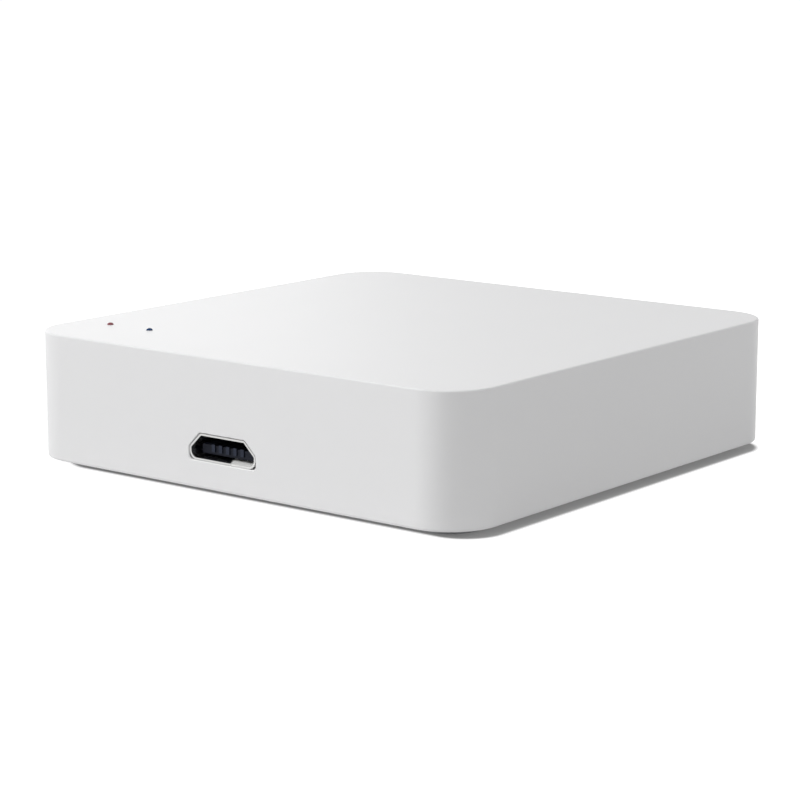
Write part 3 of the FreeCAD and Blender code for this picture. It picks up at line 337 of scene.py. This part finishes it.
def make_copper_tracks():
    """Tracks under a solder mask: runs of parallel lines that break off here and there."""
    group, start, end = shader_group("copper_tracks", {
        "Pitch": ("NodeSocketFloat", TRACK_PITCH),
        "Length": ("NodeSocketFloat", TRACK_LENGTH),
    }, {"Track": "NodeSocketFloat"})
    place = group.nodes.new("ShaderNodeTexCoord").outputs["Object"]
    lines = []
    for turn in (0.0, math.pi / 2):
        turned_place = group.nodes.new("ShaderNodeMapping")
        turned_place.inputs["Rotation"].default_value = (0.0, 0.0, turn)
        group.links.new(place, turned_place.inputs["Vector"])
        bricks = group.nodes.new("ShaderNodeTexBrick")
        bricks.inputs["Scale"].default_value = 1.0
        bricks.inputs["Mortar Smooth"].default_value = 0.1
        group.links.new(turned_place.outputs[0], bricks.inputs["Vector"])
        group.links.new(start.outputs["Pitch"], bricks.inputs["Row Height"])
        group.links.new(start.outputs["Length"], bricks.inputs["Brick Width"])
        width = math_node(group, "MULTIPLY", start.outputs["Pitch"], TRACK_SHARE)
        group.links.new(width, bricks.inputs["Mortar Size"])
        lines.append(bricks.outputs["Fac"])
    area = math_node(group, "GREATER_THAN", noise(group, place, 1 / TRACK_FIELD, detail=1.0), 0.5)
    across = math_node(group, "MULTIPLY", lines[0], area)
    along = math_node(group, "MULTIPLY", lines[1], math_node(group, "SUBTRACT", 1.0, area))
    group.links.new(math_node(group, "MAXIMUM", across, along), end.inputs["Track"])
    return group


copper_tracks = make_copper_tracks()


def board_material(name, mask, track):
    """Solder mask over copper tracks."""
    material, tree, shader = new_material(name)
    tracks = place_group(tree, copper_tracks, {})
    drift = place_group(tree, colour_drift, {"Color": (*mask, 1.0), "Shade": 0.12})
    mix = tree.nodes.new("ShaderNodeMix")
    mix.data_type = "RGBA"
    mix.inputs["B"].default_value = (*track, 1.0)
    tree.links.new(tracks.outputs["Track"], mix.inputs["Factor"])
    tree.links.new(drift.outputs["Color"], mix.inputs["A"])
    tree.links.new(mix.outputs["Result"], shader.inputs["Base Color"])
    gloss = place_group(tree, mould_grain, {"Grain Size": 0.3 * MM, "Roughness": 0.3})
    tree.links.new(gloss.outputs["Roughness"], shader.inputs["Roughness"])
    bump(tree, shader, tracks.outputs["Track"], TRACK_HEIGHT)
    return material


def dress(node_name, material):
    """Gives a CAD node its finish."""
    for slot in nodes[node_name].material_slots:
        slot.material = material


dress("circuit_board", board_material("green_mask", MASK_GREEN, TRACK_GREEN))


# Board screws
# Two pan-head screws of zinc-plated steel. Each has a rolled thread that cuts its way into a boss of
# the base plate, a blunt point, and a cross recess pressed into its head.
ZINC = (0.62, 0.63, 0.64)
HEAD_HEIGHT = 1.3 * MM
HEAD_CROWN = 0.5 * MM
THREAD_CORE = 0.68 * MM
THREAD_DEPTH = 0.27 * MM
THREAD_PITCH = 0.7 * MM
RIDGE_SHARE = 0.5
THREAD_STEPS = 10
POINT_LENGTH = 0.6 * MM
POINT_SHARE = 0.35
RECESS_REACH = 1.1 * MM
RECESS_WIDTH = 0.42 * MM
RECESS_DEPTH = 0.8 * MM
RECESS_TAPER = 0.45
SCREW_STEPS = 48


def raise_thread(form, seat):
    """A thread rolled round the shank, which fades out under the head and at the point."""
    for vert in form.verts:
        radius = vert.co.xy.length
        if vert.co.z > seat - WELD or radius < WELD:
            continue
        turn = math.atan2(vert.co.y, vert.co.x) / (2 * math.pi)
        phase = (vert.co.z / THREAD_PITCH - turn) % 1.0
        ridge = max(0.0, 1.0 - 2.0 * abs(phase - 0.5) / RIDGE_SHARE)
        fade = min(radius / THREAD_CORE, (seat - vert.co.z) / THREAD_PITCH, 1.0)
        vert.co.xy = vert.co.xy * (1.0 + THREAD_DEPTH * ridge * fade / radius)


def cross_punch(top, reach, width, depth, taper):
    """The cross that a recess is pressed with. At its end the arms reach only the taper's share."""
    form = bmesh.new()
    rings = []
    half = width / 2
    for height, share in ((top + width, 1.0), (top - depth, taper)):
        corners = []
        for quarter in range(4):
            turn = Matrix.Rotation(quarter * math.pi / 2, 3, "Z")
            for x, y in ((reach * share, -half), (reach * share, half), (half, half)):
                corners.append(form.verts.new(turn @ Vector((x, y, height))))
        rings.append(corners)
    form.faces.new(rings[0])
    form.faces.new(rings[1][::-1])
    for step in range(len(rings[0])):
        after = (step + 1) % len(rings[0])
        form.faces.new([rings[0][step], rings[1][step], rings[1][after], rings[0][after]])
    bmesh.ops.recalc_face_normals(form, faces=form.faces)
    return form


def carved(form, cutter):
    """The form with the cutter's volume taken out of it."""
    solids = []
    for each in (form, cutter):
        mesh = bpy.data.meshes.new("solid")
        each.to_mesh(mesh)
        each.free()
        solids.append(bpy.data.objects.new("solid", mesh))
        bpy.context.scene.collection.objects.link(solids[-1])
    cut = solids[0].modifiers.new("cut", "BOOLEAN")
    cut.operation = "DIFFERENCE"
    cut.object = solids[1]
    depsgraph = bpy.context.evaluated_depsgraph_get()
    done = bpy.data.meshes.new_from_object(solids[0].evaluated_get(depsgraph))
    for solid in solids:
        bpy.data.objects.remove(solid)
    result = bmesh.new()
    result.from_mesh(done)
    return result


def screw(low, high):
    """A screw with its point at the lowest corner's height and its head's top at the highest."""
    seat = high.z - HEAD_HEIGHT
    rings = round((seat - low.z) / THREAD_PITCH * THREAD_STEPS)
    profile = [(0.0, low.z)]
    for ring in range(rings + 1):
        height = (seat - low.z) * ring / rings
        share = min(1.0, POINT_SHARE + (1.0 - POINT_SHARE) * height / POINT_LENGTH)
        profile.append((THREAD_CORE * share, low.z + height))
    head = (high.x - low.x) / 2
    profile.append((head, seat))
    profile += arc((head - HEAD_CROWN, high.z - HEAD_CROWN), HEAD_CROWN, 0, 90, steps=8)
    form = turned(profile + [(0.0, high.z)], SCREW_STEPS)
    raise_thread(form, seat)
    form = carved(form, cross_punch(high.z, RECESS_REACH, RECESS_WIDTH, RECESS_DEPTH, RECESS_TAPER))
    smooth_rounds(form)
    return form


zinc_steel = moulded("zinc_steel", ZINC, roughness=0.32, grain=0.08 * MM, depth=0.002 * MM, shade=0.1,
                     metallic=1.0)
for side in ("left", "right"):
    low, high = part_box("board_screw_" + side)
    form = screw(low, high)
    to_place(form, low, high)
    add_piece("screw_" + side, form, zinc_steel, "hub", "screw_zinc", "board_screw_" + side)


# Power socket
# A micro-sized socket: a shell drawn from tinned steel sheet round a moulded black tongue that carries
# five tinned contacts, coloured almost black as painted shade. A pale patch of painted light lies on the
# floor of the shell. Its mouth lies almost flush in the cover's front wall.
TIN_STEEL = (0.5, 0.5, 0.495)
STEEL_ROUGHNESS = 0.24
STREAK_WIDTH = 0.03 * MM
STREAK_DEPTH = 0.001 * MM
STREAK_STRETCH = 0.03
STREAK_DULLNESS = 0.2
TONGUE_BLACK = (0.008, 0.0095, 0.016)
TONGUE_SHEEN = 0.15
# The contacts' tin is coloured almost black: painted shade for the dark inside of the mouth.
CONTACT_PAINTED_SHADE = (0.027, 0.031, 0.045)
# The pale patch on the mouth's floor is painted light: its colour, where it starts, its slant, depth,
# rise and soft edge.
PAINTED_LIGHT_PATCH = (0.8, 0.8, 0.79)
BRIGHT_FROM = 0.3 * MM
BRIGHT_SLANT = 0.54
BRIGHT_DEPTH = 2.6 * MM
BRIGHT_RISE = 0.45 * MM
BRIGHT_EDGE = 0.2 * MM
TUBE_HEIGHT = 2.65 * MM


def make_drawn_streaks():
    """Fine lines along Y, which the drawing of the sheet leaves in the metal."""
    group, start, end = shader_group("drawn_streaks", {
        "Line Width": ("NodeSocketFloat", STREAK_WIDTH),
        "Roughness": ("NodeSocketFloat", STEEL_ROUGHNESS),
    }, {"Height": "NodeSocketFloat", "Roughness": "NodeSocketFloat"})
    place = group.nodes.new("ShaderNodeTexCoord").outputs["Object"]
    stretched = group.nodes.new("ShaderNodeMapping")
    stretched.inputs["Scale"].default_value = (1.0, STREAK_STRETCH, 1.0)
    group.links.new(place, stretched.inputs["Vector"])
    scale = math_node(group, "DIVIDE", 1.0, start.outputs["Line Width"])
    streaks = noise(group, stretched.outputs[0], scale, detail=2.0)
    drift = swing(group, streaks, STREAK_DULLNESS)
    group.links.new(streaks, end.inputs["Height"])
    group.links.new(math_node(group, "ADD", start.outputs["Roughness"], drift), end.inputs["Roughness"])
    return group


drawn_streaks = make_drawn_streaks()


def drawn_metal(name, color, roughness):
    """Metal sheet with the streaks of its drawing."""
    material, tree, shader = new_material(name, metallic=1.0)
    drift = place_group(tree, colour_drift, {"Color": (*color, 1.0), "Shade": 0.1,
                                             "Patch Size": 1.5 * MM})
    streaks = place_group(tree, drawn_streaks, {"Roughness": roughness})
    tree.links.new(drift.outputs["Color"], shader.inputs["Base Color"])
    tree.links.new(streaks.outputs["Roughness"], shader.inputs["Roughness"])
    bump(tree, shader, streaks.outputs["Height"], STREAK_DEPTH)
    return material


def paint_light_on_floor(material, top):
    """Paints a matt, pale patch on the right half of the mouth's floor: painted light, as if a lamp
    shone in through the mouth.
    """
    tree = material.node_tree
    shader = tree.nodes["Principled BSDF"]
    spot = tree.nodes.new("ShaderNodeSeparateXYZ")
    tree.links.new(tree.nodes.new("ShaderNodeTexCoord").outputs["Object"], spot.inputs[0])
    depth = math_node(tree, "SUBTRACT", spot.outputs["Y"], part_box("socket_shell")[0].y)
    along = math_node(tree, "ADD", spot.outputs["X"], math_node(tree, "MULTIPLY", depth, BRIGHT_SLANT))
    patch_top = top - TUBE_HEIGHT + BRIGHT_RISE
    mask = 1.0
    for value, edge, sign in ((along, BRIGHT_FROM, 1), (depth, BRIGHT_DEPTH, -1),
                              (spot.outputs["Z"], patch_top, -1)):
        step = tree.nodes.new("ShaderNodeMapRange")
        step.interpolation_type = "SMOOTHSTEP"
        step.inputs["From Min"].default_value = edge - sign * BRIGHT_EDGE
        step.inputs["From Max"].default_value = edge + sign * BRIGHT_EDGE
        tree.links.new(value, step.inputs["Value"])
        mask = math_node(tree, "MULTIPLY", mask, step.outputs[0])
    mix = tree.nodes.new("ShaderNodeMix")
    mix.data_type = "RGBA"
    mix.inputs["B"].default_value = (*PAINTED_LIGHT_PATCH, 1.0)
    tree.links.new(mask, mix.inputs["Factor"])
    tree.links.new(shader.inputs["Base Color"].links[0].from_socket, mix.inputs["A"])
    tree.links.new(mix.outputs["Result"], shader.inputs["Base Color"])
    tree.links.new(math_node(tree, "SUBTRACT", 1.0, mask), shader.inputs["Metallic"])


tin_steel_with_painted_light = drawn_metal("tin_steel_with_painted_light", TIN_STEEL, STEEL_ROUGHNESS)
# A pool of painted light on the steel's floor inside the mouth.
paint_light_on_floor(tin_steel_with_painted_light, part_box("socket_shell")[1].z)
black_resin = moulded("black_resin", TONGUE_BLACK, roughness=0.5, grain=0.1 * MM, depth=0.002 * MM,
                      shade=0.1, sheen=TONGUE_SHEEN)
# The contacts' dark tin is painted shade.
contact_tin_painted_shade = drawn_metal("contact_tin_painted_shade", CONTACT_PAINTED_SHADE, roughness=0.4)
moulding("socket_shell", "socket_can", tin_steel_with_painted_light, "hub", "socket_steel")
dress("socket_insulator", black_resin)
dress("socket_contacts", contact_tin_painted_shade)


# Reset button and its switch
# A white ABS button in the back wall, held by its flange behind the wall. It travels a quarter of a
# millimetre and pushes in the plunger of a small switch that is soldered to the board.
COVER_WHITE = (0.80, 0.80, 0.805)
COVER_ROUGHNESS = 0.44
COVER_GRAIN = 0.16 * MM
COVER_GRAIN_DEPTH = 0.0015 * MM
COVER_SHADE = 0.012
NYLON_BLACK = (0.02, 0.02, 0.021)
TIN = (0.68, 0.68, 0.67)
white_abs = moulded("white_abs", COVER_WHITE, COVER_ROUGHNESS, COVER_GRAIN, COVER_GRAIN_DEPTH,
                    COVER_SHADE)
black_nylon = moulded("black_nylon", NYLON_BLACK, roughness=0.5, grain=0.15 * MM, depth=0.003 * MM,
                      shade=0.1)
tin_sheet = moulded("tin_sheet", TIN, roughness=0.3, grain=0.25 * MM, depth=0.003 * MM, shade=0.08,
                    metallic=1.0)
moulding("reset_button", "button_cap", white_abs, "reset_button", "shell_white")
dress("switch_body", black_nylon)
dress("switch_plunger", black_nylon)
dress("switch_cover", tin_sheet)


# Status lights
# Two light diodes on the board, each under a tinted acrylic pipe whose domed tip stands a little
# out of the cover's roof: one red, one blue.
PIPE_ROUGHNESS = 0.25
PIPE_STEPS = 48
PIPE_SHEEN = 0.15
TIP_RADIUS = 0.35 * MM
DOME_ARC = 84
ROOF_THICKNESS = 1.6 * MM
PIPE_TINTS = {"red": (0.25, 0.09, 0.10), "blue": (0.018, 0.047, 0.125)}
IVORY = (0.72, 0.68, 0.55)


def acrylic(name, color):
    """Tinted acrylic, which looks dark while its light is off."""
    material, tree, shader = new_material(name)
    drift = place_group(tree, colour_drift, {"Color": (*color, 1.0), "Shade": 0.2,
                                             "Patch Size": 0.6 * MM})
    surface = place_group(tree, mould_grain, {"Grain Size": 0.1 * MM, "Roughness": PIPE_ROUGHNESS})
    tree.links.new(drift.outputs["Color"], shader.inputs["Base Color"])
    tree.links.new(surface.outputs["Roughness"], shader.inputs["Roughness"])
    shader.inputs["Specular IOR Level"].default_value = PIPE_SHEEN
    return material


def light_pipe(hue, roof_top):
    """A round pipe with a narrow tip that ends in a dome above the roof."""
    low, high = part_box(hue + "_light_pipe")
    radius = (high.x - low.x) / 2
    shoulder = roof_top - ROOF_THICKNESS
    rise = high.z - roof_top
    profile = [(0.0, low.z), (radius, low.z), (radius, shoulder), (TIP_RADIUS, shoulder)]
    for across, up in arc((0.0, 0.0), 1.0, 0, DOME_ARC, steps=10):
        profile.append((TIP_RADIUS * across, roof_top + rise * up))
    form = turned(profile + [(0.0, high.z)], PIPE_STEPS)
    smooth_rounds(form)
    to_place(form, low, high)
    return form


ivory = moulded("ivory_ceramic", IVORY, roughness=0.4, grain=0.1 * MM, depth=0.002 * MM, shade=0.06)
roof_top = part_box("top_shell")[1].z
for hue, color in PIPE_TINTS.items():
    dress(hue + "_light_diode", ivory)
    pipe = light_pipe(hue, roof_top)
    tint = acrylic(hue + "_acrylic", color)
    add_piece(hue + "_pipe", pipe, tint, "hub", "pipe_" + hue, hue + "_light_pipe")


# Radio modules
# Two small boards under pressed tin shields, one for each of the hub's radios, with their printed
# antennas at the back edge in gilt copper.
MASK_BLUE = (0.012, 0.04, 0.16)
TRACK_BLUE = (0.03, 0.09, 0.28)
SHIELD_TIN = (0.70, 0.70, 0.68)
GILT_COPPER = (0.80, 0.58, 0.27)
SHIELD_FOLD = 0.1 * MM
EDGE_STEPS = 3
FLAT_ANGLE = math.radians(1)


def softened(node_name, rounding):
    """The node's form with its outer edges rounded over."""
    form = bmesh.new()
    form.from_mesh(nodes[node_name].data)
    bmesh.ops.remove_doubles(form, verts=form.verts, dist=WELD)
    bmesh.ops.dissolve_limit(form, angle_limit=FLAT_ANGLE, verts=form.verts, edges=form.edges)
    outer = [edge for edge in form.edges if len(edge.link_faces) == 2 and edge.is_convex
             and edge.calc_face_angle(0.0) > SHARP_ANGLE]
    bmesh.ops.bevel(form, geom=outer, offset=rounding, offset_type="OFFSET", segments=EDGE_STEPS,
                    profile=0.5, affect="EDGES", clamp_overlap=True)
    for face in form.faces:
        face.smooth = True
        face.material_index = 0
    return form


def soft_part(node_name, piece_name, rounding, material, body, slot):
    """A small part in place of its node, with softened edges."""
    piece = add_piece(piece_name, softened(node_name, rounding), material, body, slot, node_name)
    even_normals(piece)


blue_mask = board_material("blue_mask", MASK_BLUE, TRACK_BLUE)
shield_tin = moulded("shield_tin", SHIELD_TIN, roughness=0.34, grain=0.3 * MM, depth=0.004 * MM,
                     shade=0.08, metallic=1.0)
foil = moulded("gilt_foil", GILT_COPPER, roughness=0.3, grain=0.1 * MM, depth=0.001 * MM, shade=0.1,
               metallic=1.0)
for radio in ("mesh_radio", "lan_radio"):
    dress(radio + "_board", blue_mask)
    soft_part(radio + "_shield", radio + "_can", SHIELD_FOLD, shield_tin, "hub", "shield_tin")
    dress(radio + "_antenna", foil)


# Storage cans
# Two drawn aluminium cans, crimped round their rubber seals, on black bases with two cut corners.
# Each top has a shallow cross pressed in, where it can open if pressure builds up.
ALUMINIUM = (0.72, 0.72, 0.73)
EPOXY_BLACK = (0.022, 0.022, 0.024)
CAN_RADIUS = 2.0 * MM
CAN_BASE_HEIGHT = 0.6 * MM
CORNER_CUT = 1 / 3
PART_EDGE = 0.06 * MM
CAN_CROWN = 0.3 * MM
CAN_DISH = 0.1 * MM
CRIMP_DEPTH = 0.25 * MM
CRIMP_LEVEL = 0.9 * MM
CRIMP_HALF = 0.45 * MM
CRIMP_STEPS = 8
VENT_REACH = 1.3 * MM
VENT_WIDTH = 0.14 * MM
VENT_DEPTH = 0.06 * MM
CAN_STEPS = 64


def can_form(low, high):
    """The can from its base up: the crimp, the plain wall and the crown round its dished top."""
    foot = low.z + CAN_BASE_HEIGHT
    top = high.z - CAN_DISH
    profile = [(0.0, foot), (CAN_RADIUS, foot)]
    for step in range(CRIMP_STEPS + 1):
        along = 2 * step / CRIMP_STEPS - 1
        inset = CRIMP_DEPTH * (1 + math.cos(math.pi * along)) / 2
        profile.append((CAN_RADIUS - inset, foot + CRIMP_LEVEL + CRIMP_HALF * along))
    profile += arc((CAN_RADIUS - CAN_CROWN, high.z - CAN_CROWN), CAN_CROWN, 0, 90, steps=6)
    profile += [(CAN_RADIUS - CAN_CROWN - CAN_DISH, top), (0.0, top)]
    form = turned(profile, CAN_STEPS)
    form = carved(form, cross_punch(top, VENT_REACH, VENT_WIDTH, VENT_DEPTH, taper=1.0))
    smooth_rounds(form)
    return form


def can_base(low, high):
    """The square base, with its two corners on the +X side cut off."""
    half = (high.x - low.x) / 2
    cut = half * CORNER_CUT
    form = bmesh.new()
    outline = [(-half, -half), (half - cut, -half), (half, cut - half), (half, half - cut),
               (half - cut, half), (-half, half)]
    corners = [form.verts.new((x, y, low.z)) for x, y in outline]
    face = form.faces.new(corners)
    raised = bmesh.ops.extrude_face_region(form, geom=[face])["geom"]
    rising = [item for item in raised if isinstance(item, bmesh.types.BMVert)]
    bmesh.ops.translate(form, verts=rising, vec=(0.0, 0.0, CAN_BASE_HEIGHT))
    bmesh.ops.recalc_face_normals(form, faces=form.faces)
    bmesh.ops.bevel(form, geom=form.edges[:], offset=PART_EDGE, offset_type="OFFSET",
                    segments=EDGE_STEPS, profile=0.5, affect="EDGES")
    for face in form.faces:
        face.smooth = True
    return form


aluminium = moulded("aluminium", ALUMINIUM, roughness=0.35, grain=0.2 * MM, depth=0.002 * MM,
                    shade=0.06, metallic=1.0)
epoxy = moulded("black_epoxy", EPOXY_BLACK, roughness=0.55, grain=0.08 * MM, depth=0.004 * MM,
                shade=0.15)
for row in ("front", "back"):
    node_name = "storage_can_" + row
    low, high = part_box(node_name)
    for part, form, material in (("drawn_can_", can_form(low, high), aluminium),
                                 ("can_base_", can_base(low, high), epoxy)):
        to_place(form, low, high)
        even_normals(add_piece(part + row, form, material, "hub", "can_aluminium", node_name))


# Power parts and small parts
# Soldered to the board: the regulator and its legs, the coil, the surge diode, the fuse, and the
# small resistors and capacitors. Each is pressed or fired to shape, with slightly rounded edges.
FERRITE_GREY = (0.14, 0.14, 0.145)
CERAMIC_TAN = (0.33, 0.22, 0.13)
FUSE_GREEN = (0.06, 0.22, 0.10)
ferrite = moulded("grey_ferrite", FERRITE_GREY, roughness=0.6, grain=0.12 * MM, depth=0.006 * MM,
                  shade=0.15)
ceramic = moulded("tan_ceramic", CERAMIC_TAN, roughness=0.45, grain=0.08 * MM, depth=0.002 * MM,
                  shade=0.12)
fuse_green = moulded("green_fuse", FUSE_GREEN, roughness=0.45, grain=0.1 * MM, depth=0.002 * MM,
                     shade=0.1)
SMALL_PARTS = {
    "regulator_body": (epoxy, "package_black"), "power_coil": (ferrite, "coil_grey"),
    "surge_diode": (epoxy, "package_black"), "input_fuse": (fuse_green, "fuse_green"),
    "light_resistors": (epoxy, "package_black"), "filter_capacitors": (ceramic, "chip_tan"),
}
for node_name, (material, slot) in SMALL_PARTS.items():
    soft_part(node_name, node_name + "_part", PART_EDGE, material, "hub", slot)
dress("regulator_leads", tin_sheet)


# White cover
# One injection-moulded cover of white ABS, roof and four walls, that snaps down over the base
# plate. Its outside has the fine even grain of a spark-eroded mould, and its lower edge is crisp.
COVER_ROUND = 5.6 * MM
RIM_BEVEL = 0.2 * MM
CRISP_BEVEL = 0.05 * MM


def sharpen_rim(cover):
    """Draws the lower bevel's inner edge out, until the wall runs almost straight down to it."""
    low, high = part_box("top_shell")
    for vert in cover.data.vertices:
        place = vert.co
        core = Vector((min(max(place.x, low.x + COVER_ROUND), high.x - COVER_ROUND),
                       min(max(place.y, low.y + COVER_ROUND), high.y - COVER_ROUND), place.z))
        reach = (place - core).length
        if place.z < low.z + WELD and abs(reach - (COVER_ROUND - RIM_BEVEL)) < RIM_BEVEL / 4:
            vert.co = core + (place - core) * (COVER_ROUND - CRISP_BEVEL) / reach


sharpen_rim(moulding("top_shell", "white_cover", white_abs, "hub", "shell_white"))


# Floor
# A pale sheet under the hub. It glows evenly, so that it is white to the edge of the picture, but only
# weakly in a rounded square below the cover's overhang, where the hub's contact shadow lies: that dim
# square is a painted shadow, which a faint glow lifts and in which the lamps' own shadow shows too.
FLOOR_SIDE = 4.0
FLOOR_SHADE = 0.45
FLOOR_ROUGHNESS = 0.9
# The painted shadow's edges: inside the lit front and left walls, just past the right wall and short of
# the back; its round, soft edge and faint glow.
LIT_OVERHANG = 2.2 * MM
SHADOW_REACH = 0.1 * MM
SHADOW_SHORT = 0.5 * MM
SHADOW_ROUND = 4.6 * MM
SHADOW_EDGE = 0.45 * MM
SHADOW_GLOW = 0.14


def seen_or_mirrored(tree):
    """1 on what the camera sees, mirrored or through clear pieces too, and 0 on what lights the hub."""
    rays = tree.nodes.new("ShaderNodeLightPath").outputs
    seen = math_node(tree, "MAXIMUM", rays["Is Camera Ray"], rays["Is Glossy Ray"])
    return math_node(tree, "MAXIMUM", seen, rays["Is Transmission Ray"])


def painted_shadow_glow(tree):
    """The floor's glow: weak in a square with rounded corners below the hub, which is a painted shadow,
    and 1 outside it.
    """
    spot = tree.nodes.new("ShaderNodeSeparateXYZ")
    tree.links.new(tree.nodes.new("ShaderNodeTexCoord").outputs["Object"], spot.inputs[0])
    low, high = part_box("top_shell")
    squares = []
    for axis, lit, dark in (("X", low.x + LIT_OVERHANG, high.x + SHADOW_REACH),
                            ("Y", low.y + LIT_OVERHANG, high.y - SHADOW_SHORT)):
        off = math_node(tree, "SUBTRACT", spot.outputs[axis], (lit + dark) / 2)
        flat = (dark - lit) / 2 - SHADOW_ROUND
        out = math_node(tree, "SUBTRACT", math_node(tree, "ABSOLUTE", off), flat)
        squares.append(math_node(tree, "POWER", math_node(tree, "MAXIMUM", out, 0.0), 2.0))
    gap = math_node(tree, "SQRT", math_node(tree, "ADD", *squares))
    rise = tree.nodes.new("ShaderNodeMapRange")
    rise.interpolation_type = "SMOOTHSTEP"
    rise.inputs["From Min"].default_value = SHADOW_ROUND - SHADOW_EDGE
    rise.inputs["From Max"].default_value = SHADOW_ROUND + SHADOW_EDGE
    rise.inputs["To Min"].default_value = SHADOW_GLOW
    tree.links.new(gap, rise.inputs["Value"])
    return rise.outputs[0]


def add_floor():
    """The sheet, matt to the lamps and white to the camera outside its painted shadow."""
    mesh = bpy.data.meshes.new("floor")
    half = FLOOR_SIDE / 2
    corners = [(-half, -half, 0), (half, -half, 0), (half, half, 0), (-half, half, 0)]
    mesh.from_pydata(corners, [], [(0, 1, 2, 3)])
    floor = bpy.data.objects.new("floor", mesh)
    bpy.context.scene.collection.objects.link(floor)
    material, tree, shader = new_material("floor_white")
    shader.inputs["Base Color"].default_value = (FLOOR_SHADE, FLOOR_SHADE, FLOOR_SHADE, 1.0)
    shader.inputs["Roughness"].default_value = FLOOR_ROUGHNESS
    shader.inputs["Specular IOR Level"].default_value = 0.0
    glow = tree.nodes.new("ShaderNodeEmission")
    strength = math_node(tree, "MULTIPLY", painted_shadow_glow(tree), seen_or_mirrored(tree))
    tree.links.new(strength, glow.inputs["Strength"])
    both = tree.nodes.new("ShaderNodeAddShader")
    tree.links.new(shader.outputs[0], both.inputs[0])
    tree.links.new(glow.outputs[0], both.inputs[1])
    tree.links.new(both.outputs[0], tree.nodes["Material Output"].inputs["Surface"])
    mesh.materials.append(material)


add_floor()


# Light
# Soft boxes round the hub: the largest at the left of the socket's wall, and weaker ones at the
# right and behind. One alone shows in the satin sheen of the roof, so that the roof never glares.
# The world is white where the camera or a mirror sees it, and gives no light.
LIGHT_AIM = Vector((0.0, 0.0, 0.008))
LIGHT_DISTANCE = 1.0
SHEEN_LIGHT = "gloss_left"
# Azimuth and elevation in degrees, width and height in metres, power in watts.
LIGHTS = {
    "key_high": (-135, 46, 0.6, 0.6, 7.1),
    "key_low": (-137, 16, 0.5, 0.5, 0.9),
    "low_front": (-78, 14, 0.3, 0.5, 2.35),
    "side_right": (32, 14, 0.36, 0.5, 3.05),
    "front_right": (-45, 48, 0.5, 0.5, 2.1),
    "back_low": (80, 14, 0.34, 0.45, 1.25),
    "gloss_left": (147, 18, 0.62, 0.5, 1.21),
}


def add_light(name, azimuth, elevation, width, height, power):
    """A soft box that looks at the hub. Azimuth is counted from +X, towards +Y."""
    turn, lift = math.radians(azimuth), math.radians(elevation)
    away = Vector((math.cos(turn) * math.cos(lift), math.sin(turn) * math.cos(lift), math.sin(lift)))
    light = bpy.data.lights.new(name, "AREA")
    light.shape = "RECTANGLE"
    light.size = width
    light.size_y = height
    light.energy = power
    lamp = bpy.data.objects.new(name, light)
    lamp.location = LIGHT_AIM + away * LIGHT_DISTANCE
    lamp.rotation_euler = (-away).to_track_quat("-Z", "Y").to_euler()
    lamp.visible_glossy = name == SHEEN_LIGHT
    bpy.context.scene.collection.objects.link(lamp)


for lamp_name, values in LIGHTS.items():
    add_light(lamp_name, *values)


def add_world():
    """A room that is white to the camera and dark to the hub."""
    world = bpy.data.worlds.new("white_room")
    bpy.context.scene.world = world
    world.use_nodes = True
    tree = world.node_tree
    background = tree.nodes["Background"]
    background.inputs["Color"].default_value = (1.0, 1.0, 1.0, 1.0)
    tree.links.new(seen_or_mirrored(tree), background.inputs["Strength"])


add_world()
bpy.context.scene.view_settings.view_transform = "Standard"
